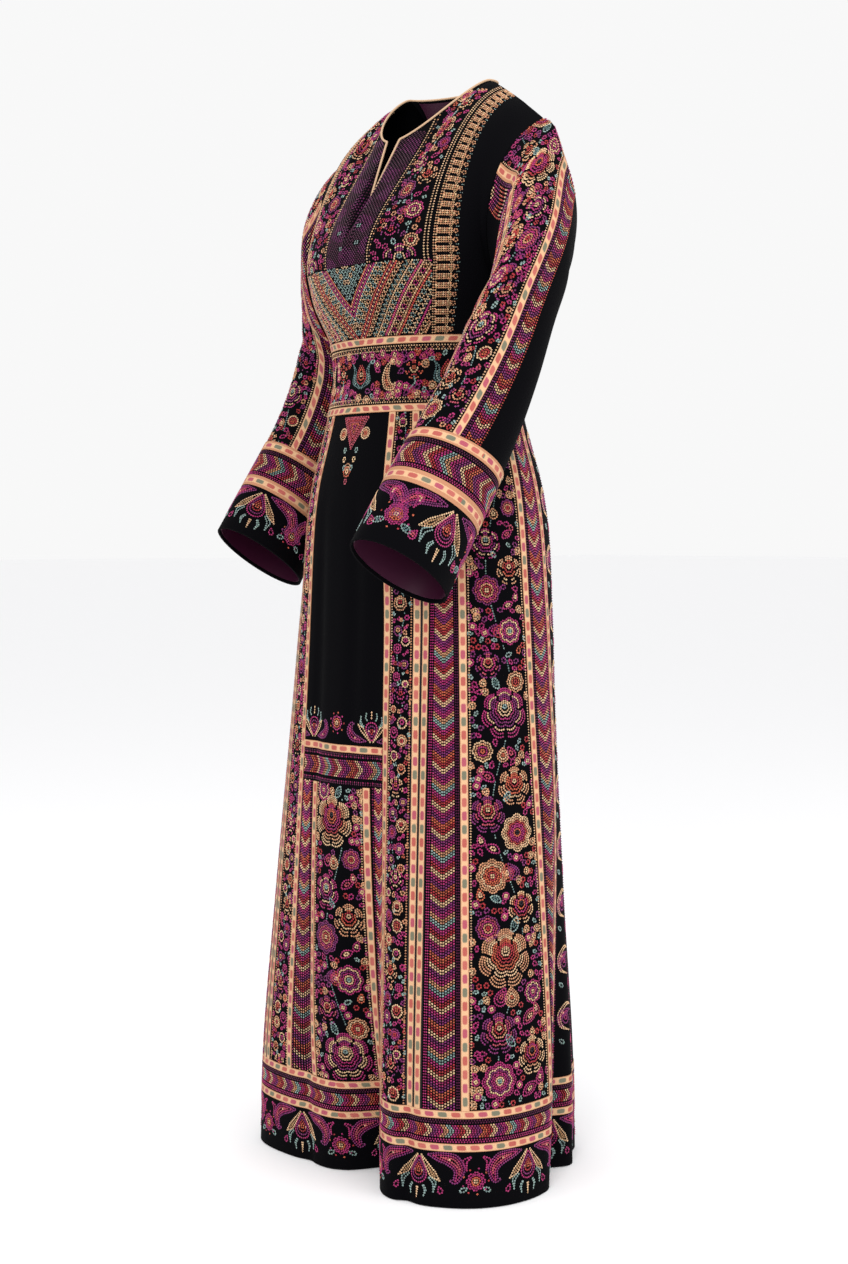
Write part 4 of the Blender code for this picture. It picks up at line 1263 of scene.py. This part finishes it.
def moved(kit, x, y=0.0, mirror=1):
    return [np.column_stack((t[:, 0] * mirror + x, t[:, 1] + y, mirror * t[:, 2], t[:, 3:])) for t in kit]


# A band all round: rows of dots above and below chevrons that point one way.
def chevronBand(name, dots=("plum", "magenta")):
    half, length = panelSize(name)
    kit = []
    for edge, colour in zip((0, 1), dots):
        for inset in (0.0024, 0.0050):
            y = inset if edge == 0 else length - inset
            x = np.arange(-half(0), half(0), 0.0034) + (0.0017 if inset > 0.003 else 0)
            addStitches(kit, x, y, 0.0, colour, (0.72, 1.0))
    chevrons(kit, length / 2, lambda y: length / 2 - 0.0075, -half(0), half(0), lying=True)
    embroider(name, kit)


# Motifs that hang from the upper edge of a border: a palmette with leaves and sprays, a curl
# that swings out to either side, and a round flower.
def palmette(kit, x, y, size):
    for side in (-1, 1):
        sweep(
            kit, ((0.04, 0.04), (0.20, 0.26), (0.40, 0.52), (0.60, 0.68)), (0.03, 0.07, 0.11, 0.02),
            ("cream", "ochre"), x, y, size, side
        )
        sweep(
            kit, ((0.30, 0.58), (0.46, 0.72), (0.44, 0.98)), (0.05, 0.07, 0.02), ("paleTeal", "teal"), x, y,
            size, side
        )
        sweep(
            kit, ((0.16, 0.80), (0.24, 0.92), (0.20, 1.10)), (0.04, 0.05, 0.02), ("paleTeal",), x, y, size,
            side
        )
    motif(kit, "drop", x, y + size * 0.80, size * 0.74, ("magenta", "purple", "red", "orange"))
    for side in (-1, 1):
        addStitches(kit, x + side * size * 0.11, y + size * 0.45, 0.0, "cream", (0.9, 1.1))
    sweep(kit, ((0, 0.86), (0, 1.16)), (0.05, 0.02), ("cream",), x, y, size)


def curl(kit, x, y, size, mirror=1):
    sweep(
        kit, ((0.22, 0.03), (0.50, 0.07), (0.90, 0.14), (1.10, 0.38), (1.00, 0.70), (0.84, 0.66)),
        (0.03, 0.13, 0.19, 0.16, 0.10, 0.03),
        ("purple", "magenta", "rose"), x, y, size, mirror,
    )
    addStitches(kit, x + mirror * size * 0.80, y + size * 0.14, 0.0, "cream", (1.0, 1.2))


def rosetteMotif(kit, x, y, size):
    motif(kit, "rosette", x, y, size * 0.25, ("magenta", "orange", "cream"))
    a = np.arange(9) * 2 * math.pi / 9
    addStitches(
        kit, x + size * 0.32 * np.cos(a), y + size * 0.32 * np.sin(a), a + math.pi / 2,
        ("red", "magenta", "orange"), (1.0, 1.0)
    )


def motifRow(kit, half, y, size, step):
    count = max(int(round(2 * half / step)), 1)
    wide = 2 * half / count
    for k in range(count):
        x = (k + 0.5) * wide - half
        palmette(kit, x, y, size)
        for side in (-1, 1):
            curl(kit, x, y, size * 0.98, side)
            sweep(
                kit, ((0.16, 0.06), (0.34, 0.18), (0.26, 0.46)), (0.04, 0.09, 0.02), ("magenta", "cream"),
                x + side * wide / 2, y, size * 0.9, -side,
            )
            motif(
                kit, "leaf", x + side * (wide / 2 - size * 0.42), y + size * 0.95, size * 0.30,
                ("paleTeal", "teal"), side * 0.9, side
            )
            motif(
                kit, "drop", x + side * size * 0.66, y + size * 1.02, size * 0.26, ("magenta", "rose"),
                -side * 0.4, side
            )
        rosetteMotif(kit, x + wide / 2 if k < count - 1 else half - 1e-4, y + size * 0.66, size)


for word in mirrorOf:
    chevronBand(f"cuff_{word}_chevron_band")
    half, length = panelSize(f"cuff_{word}_border")
    kit = []
    motifRow(kit, float(half(0)), length * 0.05, length * 0.70, 0.118)
    embroider(f"cuff_{word}_border", kit)
chevronBand("hem_chevron_band")
half, length = panelSize("hem_border")
kit = []
motifRow(kit, float(half(0)), length * 0.05, length * 0.72, 0.140)
embroider("hem_border", kit)
print("sleeves, cuffs and hem embroidered")

# The belt: checked dots above and below, and large motifs between them.
half, length = panelSize("belt_band")
kit = []
for y in (0.0030, 0.0056, 0.0082):
    for at in (y, length - y):
        x = np.arange(-half(0), half(0), 0.0036) + (0.0018 if abs(y - 0.0056) < 1e-4 else 0)
        addStitches(kit, x, at, 0.0, "cream" if y != 0.0056 else ("peach", "dark"), (0.72, 0.95))
beltHalf, middle = float(half(0)), length / 2
beltRepeat = 2 * beltHalf / 6
taken = []
for k in range(6):
    x = max(-beltHalf + k * beltRepeat, -beltHalf + 1e-3)
    for off in (-1, 1):  # a flame in a cup of two leaves
        sweep(
            kit, ((0.02, 0.95), (0.42, 0.70), (0.34, 0.30), (0.52, 0.02)), (0.05, 0.13, 0.09, 0.02),
            ("teal", "paleTeal"), x, middle - 0.019, 0.036, off
        )
    motif(kit, "drop", x, middle + 0.011, 0.029, ("red", "orange", "cream"))
    taken.append((x, middle, 0.021))
    at = x + beltRepeat * 0.36
    hook = ((0.30, -0.62), (0.02, -0.34), (-0.10, 0.10), (0.02, 0.44), (0.30, 0.52), (0.40, 0.30))
    sweep(kit, hook, (0.02, 0.12, 0.20, 0.22, 0.14, 0.03), ("cream", "peach", "orange"), at, middle, 0.032)
    taken.append((at + 0.002, middle + 0.003, 0.016))
    flower = at + beltRepeat * 0.30
    motif(kit, "peony", flower, middle - 0.005, 0.0125, ("orange", "red", "cream", "orange"))
    sweep(
        kit, ((0, 0.10), (0.10, 0.5), (-0.30, 0.9)), (0.03, 0.03, 0.03), ("paleTeal",), flower, middle, 0.022
    )
    motif(kit, "leaf", flower + 0.001, middle + 0.014, 0.013, ("magenta", "rose"), 1.0, 1)
    taken.append((flower, middle - 0.004, 0.0135))
middleKit = []
sprinkle(
    middleKit, [(y - middle, x, r) for x, y, r in taken], lambda y: 0.5 * (length - 0.024) + 0 * y, -beltHalf,
    beltHalf, spacing=0.0085, inset=0.0, seed=31
)
kit += swapped(middleKit, middle)
embroider("belt_band", kit)


# The chest: brocade in the middle with a few pale dots, dotted lines, and flowers on both sides.
brocade = {
    "half": 0.0265, "row": 0.0024, "top": 0.200, "shine": 0.62,
    "dots": ((-0.012, -0.045), (0.010, -0.052), (-0.004, -0.022), (0.014, -0.028))
}
kit = []
rows = np.arange(brocade["row"] / 2, brocade["top"], brocade["row"])
for i, up in enumerate(rows):
    x = np.arange(-brocade["half"], brocade["half"], 0.0030) + (0.0015 if i % 2 else 0)
    wave = np.sin(x * 210 + up * 90) + np.sin(up * 160 - x * 60)
    for colour, chosen in (("purple", wave > 0.1), ("plum", wave <= 0.1)):
        if chosen.any():
            addStitches(
                kit, x[chosen], -up + 0 * x[chosen], 0.35 * np.sin(up * 130) + 0 * x[chosen], colour,
                (1.05, 0.95)
            )
            kit[-1][:, 5:8] *= brocade["shine"]
for x, y in brocade["dots"]:
    kit = [t[(t[:, 0] - x) ** 2 + (t[:, 1] - y) ** 2 > 0.0034**2] for t in kit]
for x, y in brocade["dots"]:
    motif(kit, "round", x, y, 0.0030, ("paleTeal", "cream"))
for side in (-1, 1):
    for away, colour in (
        (0.0290, "cream"), (0.0318, ("peach", "dark")), (0.0930, "cream"), (0.0972, "cream")
    ):
        y = -np.arange(0.001, 0.30, 0.0036)
        addStitches(kit, side * away + 0 * y, y, math.pi / 2, colour, (0.75, 1.0))
    flowers = []
    floral(flowers, lambda y: 0.0285 + 0 * y, -0.27, -0.002, phase=0.4, inset=0.003, seed=41 + side)
    kit += moved(flowers, side * 0.0625, mirror=side)
embroider("chest_panel", kit)

# The piece under the bust: V-shaped stripes whose points lie on the middle line.
vStripes = {
    "slope": 1.20, "start": 0.050,
    "bands": (
        ("line", 0.0030, ("peach", "orange")), ("line", 0.0028, ("magenta",)),
        ("line", 0.0026, ("plum", "cream")),
        ("line", 0.0028, ("magenta",)), ("line", 0.0030, ("cream", "paleTeal")),
        ("rings", 0.0068, ("cream", "paleTeal")),
        ("rings", 0.0068, ("paleTeal", "cream", "peach")), ("line", 0.0034, ("orange", "red")),
        ("line", 0.0028, ("plum", "cream")),
        ("line", 0.0034, ("red", "orange")), ("rings", 0.0068, ("cream", "peach")),
        ("zigzag", 0.0070, ("teal", "cream")),
        ("line", 0.0026, ("cream",)), ("rings", 0.0068, ("paleTeal", "cream")),
        ("line", 0.0036, ("rose", "magenta")),
        ("line", 0.0026, ("cream",)), ("rings", 0.0068, ("magenta", "peach", "cream")),
        ("line", 0.0030, ("cream", "ochre")),
        ("line", 0.0034, ("orange", "red")), ("rings", 0.0068, ("cream", "paleTeal")),
        ("zigzag", 0.0070, ("cream", "teal")),
        ("line", 0.0030, ("magenta",)), ("rings", 0.0068, ("cream", "peach")), ("line", 0.0030, ("peach",)),
    ),
}


def smallRing(kit, x, y, radius, colour, size=(0.8, 0.85)):
    alongPath(kit, placed(shapes["round"], x, y, 0, radius), colour, closed=True, size=size)


half, length = panelSize("under_bust_panel")
wide = float(half(0)) + 0.002
kit, slope = [], vStripes["slope"]
steep = math.hypot(1, slope)
for side in (-1, 1):
    apex = vStripes["start"]
    armEnd = lambda y: np.array(((0.0, y), (side * wide, y - slope * wide)))
    for up in np.arange(0.006, apex, 0.0066):  # rings inside the first V
        for x in np.arange(0.0033, (apex - up) / slope, 0.0066):
            smallRing(
                kit, side * x, apex - up - slope * x, 0.0024, "cream" if int(up * 1e4) % 3 else "paleTeal"
            )
    for kind, thick, colours in vStripes["bands"]:
        middleAt = apex + thick * steep / 2
        arm = armEnd(middleAt)
        if kind == "line":
            alongPath(kit, arm, colours if len(colours) > 1 else colours[0], size=(1.05, thick / 0.0026))
        elif kind == "rings":
            steps = np.arange(0.003, wide * steep, 0.0062)
            for k, run in enumerate(steps):
                smallRing(
                    kit, side * run / steep, middleAt - slope * run / steep, 0.0026, colours[k % len(colours)]
                )
        else:
            run = np.arange(0.0, wide * steep, 0.0038)
            off = np.where(np.arange(len(run)) % 2, 0.0026, -0.0026)
            x = run / steep + off * slope / steep
            y = middleAt - slope * run / steep + off / steep
            alongPath(kit, np.stack((side * x, y), -1), colours[0], size=(0.95, 0.9))
            for k in range(0, len(run) - 1, 2):
                smallRing(kit, side * (x[k] + x[k + 1]) / 2, y[k] + 0.0016, 0.0014, colours[1], (0.6, 0.7))
        apex += thick * steep
embroider("under_bust_panel", kit)

# The comb borders: bars that reach out from a dotted line, with a pale dot in each gap.
comb = {"pitch": 0.0112, "bars": 3, "row": 0.0026}
for side, word in ((1, "left"), (-1, "right")):
    half, length = panelSize(f"comb_border_{word}")
    kit = []
    for y in np.arange(0.004, length, comb["pitch"]):
        edge = float(half(y))
        for k in range(comb["bars"]):
            off = (k - 1) * comb["row"]
            reach = 2 * edge - (0.0075 if k == 1 else 0.0095)
            x = np.arange(0.0058, reach, 0.0029) - edge
            colour = (("peach", "cream"), ("cream", "peach", "ochre"), ("ochre", "peach"))[k]
            addStitches(kit, side * x, y + off + 0 * x, 0.0, colour, (1.02, 1.0))
        smallRing(kit, side * (edge - 0.0062), y, 0.0024, "peach", (0.8, 0.8))
        smallRing(kit, side * (edge - 0.0125), y + comb["pitch"] / 2, 0.0013, "cream", (0.6, 0.7))
        smallRing(kit, side * (edge - 0.0040), y + comb["pitch"] / 2, 0.0012, "paleTeal", (0.55, 0.6))
    y = np.arange(0.0017, length, 0.0034)
    for inset in (0.0016, 0.0044):
        addStitches(kit, -side * (half(y) - inset), y, math.pi / 2, ("cream", "peach"), (0.72, 0.95))
    embroider(f"comb_border_{word}", kit)
print("chest, under-bust and comb borders embroidered")

# The front panel: a pendant under the belt and a row of motifs standing on the band.
half, length = panelSize("skirt_front")
kit = []
triangle = np.array([(0.026 * (1 - t), 0.004 + 0.044 * t) for t in np.linspace(0, 1, 12)])
triangle = np.concatenate((triangle, (triangle * (-1, 1))[::-1][1:]))
fillShape(kit, triangle, ("rose", "red", "rose", "orange", "magenta"), centre=(0, 0.017))
for side in (-1, 1):
    motif(kit, "rosette", side * 0.0225, 0.026, 0.0085, ("cream", "peach", "orange"))
    for k, (x, y) in enumerate(((0.0115, 0.038), (0.0098, 0.050), (0.0070, 0.061))):
        motif(
            kit, "drop", side * x, y + 0.005, 0.0105, ("cream", "peach") if k % 2 else ("paleTeal", "cream"),
            math.pi
        )
motif(kit, "bud", 0, 0.064, 0.0150, ("peach", "cream", "orange"), math.pi)
motif(kit, "rosette", 0, 0.076, 0.0080, ("orange", "cream", "rose"))
motif(kit, "drop", 0, 0.084, 0.0105, ("rose", "cream"), math.pi)
row = {"y": length - 0.003, "size": 0.036, "step": 0.058}
standing = []
for x in (-row["step"], row["step"]):
    palmette(standing, x, 0.0, row["size"])
    for side in (-1, 1):
        curl(standing, x, 0.002, row["size"] * 0.92, side)
rosetteMotif(standing, 0.0, row["size"] * 0.66, row["size"] * 1.15)
kit += [np.column_stack((t[:, 0], row["y"] - t[:, 1], -t[:, 2], t[:, 3:])) for t in standing]
embroider("skirt_front", kit)

# The band across the front: a ribbon over a chevron band with dots above and below.
half, length = panelSize("skirt_front_band")
wide = float(half(0)) - 0.0008
line = np.linspace(-wide, wide, 90)
laidRibbon(
    "ribbon_front_band", "skirt_front_band", np.stack((line, 0 * line + 0.0052), -1), cut["ribbon"], ribbon
)
kit = []
for y, colour in (
    (0.0125, "plum"), (0.0152, ("magenta", "plum")), (length - 0.0050, ("magenta", "plum")),
    (length - 0.0024, "plum")
):
    x = np.arange(-wide, wide, 0.0034)
    addStitches(kit, x, y + 0 * x, 0.0, colour, (0.75, 1.0))
chevrons(kit, (length + 0.0095) / 2, lambda y: (length - 0.0290) / 2 + 0 * y, -wide, wide, lying=True)
embroider("skirt_front_band", kit)

# Below the band: flowers in the middle, then a ribbon and a chevron strip on each side.
half, length = panelSize("skirt_front_lower")
lower = {"flowers": 0.044, "ribbonAt": 0.0505, "chevronFrom": 0.0575}
kit = []
floral(kit, lambda y: lower["flowers"] + 0 * y, 0.003, length, phase=0.15, inset=0.004, seed=51, fine=1.2)
edgeDots(kit, lambda y: lower["flowers"] + 0 * y, length, 0.0010, "cream")
down = np.linspace(0.001, length - 0.001, 120)
for side, word in ((-1, "right"), (1, "left")):
    laidRibbon(
        f"ribbon_lower_{word}", "skirt_front_lower",
        np.stack((0 * down + side * lower["ribbonAt"], down), -1), cut["ribbon"], ribbon
    )
    strip = []
    stripHalf = lambda y: np.maximum((half(y) - lower["chevronFrom"]) / 2, 0.006)
    edgeDots(strip, stripHalf, length, 0.0014, ("magenta", "plum"))
    chevrons(strip, 0.0, lambda y: stripHalf(y) - 0.0034, 0.001, length)
    for table in strip:
        table[:, 0] = side * ((half(table[:, 1]) + lower["chevronFrom"]) / 2 + table[:, 0])
        table[:, 2] *= side
    kit += strip
embroider("skirt_front_lower", kit)
print("front panel embroidered")

# The back panel of the skirt: a scroll of curls and cream arcs beside the last ribbon, both sides.
half, length = panelSize("skirt_back")
kit = []
backScroll = {"step": 0.074, "inset": 0.024, "size": 0.030}
for k in range(int(length / backScroll["step"])):
    y = 0.02 + k * backScroll["step"]
    at = float(half(y)) - backScroll["inset"]
    for side in (-1, 1):
        sweep(
            kit, ((0.6, -0.45), (0.0, -0.62), (-0.55, -0.2), (-0.5, 0.4), (0.1, 0.62)),
            (0.03, 0.10, 0.12, 0.10, 0.03), ("cream", "ochre"), side * at, y + 0.022, 0.030, -side
        )
        curl(kit, side * (at - 0.016), y + 0.012, backScroll["size"], side)
        motif(kit, "peony", side * (at + 0.004), y + 0.024, 0.0085, ("purple", "magenta", "orange"))
        motif(kit, "leaf", side * (at + 0.010), y + 0.058, 0.014, ("paleTeal", "teal"), side * 0.7, side)
        motif(kit, "drop", side * (at - 0.008), y + 0.060, 0.014, ("magenta", "rose"), -side * 0.5, side)
y = np.arange(0.002, length, 0.0034)
for inset in (0.0025, 0.047):
    for side in (-1, 1):
        addStitches(kit, side * (half(y) - inset), y, math.pi / 2, ("magenta", "plum"), (0.72, 1.0))
embroider("skirt_back", kit)
print("back panel embroidered")
print("stitches:", sum(stitchCount.values()), stitchCount)


# Camera, light and floor.
view = {"place": (2.015, -1.691, -0.584), "azimuth": 50.0, "pitch": 2.74, "lens": 56.96, "sensor": 36.0}
cameraData = bpy.data.cameras.new("camera")
cameraData.lens, cameraData.sensor_width, cameraData.sensor_fit = view["lens"], view["sensor"], "AUTO"
camera = bpy.data.objects.new("camera", cameraData)
camera.location = view["place"]
camera.rotation_euler = (math.radians(90 - view["pitch"]), 0, math.radians(view["azimuth"]))
bpy.context.scene.collection.objects.link(camera)
bpy.context.scene.camera = camera

studio = {"floor": (0.93, 0.93, 0.94), "glow": 0.035, "world": 0.94, "size": 60.0}
floorMesh = bpy.data.meshes.new("floor")
half, floorZ = studio["size"], -cut["length"] - 0.001
floorMesh.from_pydata(
    [(-half, -half, floorZ), (half, -half, floorZ), (half, half, floorZ), (-half, half, floorZ)], [],
    [(0, 1, 2, 3)]
)
floor = bpy.data.objects.new("floor", floorMesh)
bpy.context.scene.collection.objects.link(floor)
floorMaterial = bpy.data.materials.new("floor")
floorMaterial.use_nodes = True
floorMaterial.node_tree.nodes["Principled BSDF"].inputs["Emission Color"].default_value = (1, 1, 1, 1)
floorMaterial.node_tree.nodes["Principled BSDF"].inputs["Emission Strength"].default_value = studio["glow"]
floorMaterial.node_tree.nodes["Principled BSDF"].inputs["Base Color"].default_value = (*studio["floor"], 1)
floorMaterial.node_tree.nodes["Principled BSDF"].inputs["Roughness"].default_value = 0.9
floorMesh.materials.append(floorMaterial)

world = bpy.data.worlds.new("studio")
world.use_nodes = True
world.node_tree.nodes["Background"].inputs[0].default_value = (1, 1, 1, 1)
world.node_tree.nodes["Background"].inputs[1].default_value = studio["world"]
bpy.context.scene.world = world
bpy.context.scene.view_settings.view_transform = "Standard"

# Soft lights, which all point at one place: where each stands, its size and its power.
lamps = {
    "key": {"place": (2.6, -2.9, 0.9), "size": 1.8, "power": 70},
    "fill": {"place": (3.2, 0.6, 0.2), "size": 2.0, "power": 30},
    "top": {"place": (0.3, -0.6, 2.2), "size": 2.0, "power": 25},
}
lampAim = Vector((0, 0, -0.6))
for name, lamp in lamps.items():
    data = bpy.data.lights.new(name, "AREA")
    data.size, data.energy = lamp["size"], lamp["power"]
    light = bpy.data.objects.new(name, data)
    light.location = lamp["place"]
    light.rotation_euler = (lampAim - Vector(lamp["place"])).to_track_quat("-Z", "Y").to_euler()
    bpy.context.scene.collection.objects.link(light)
print("camera, floor and lights ready")
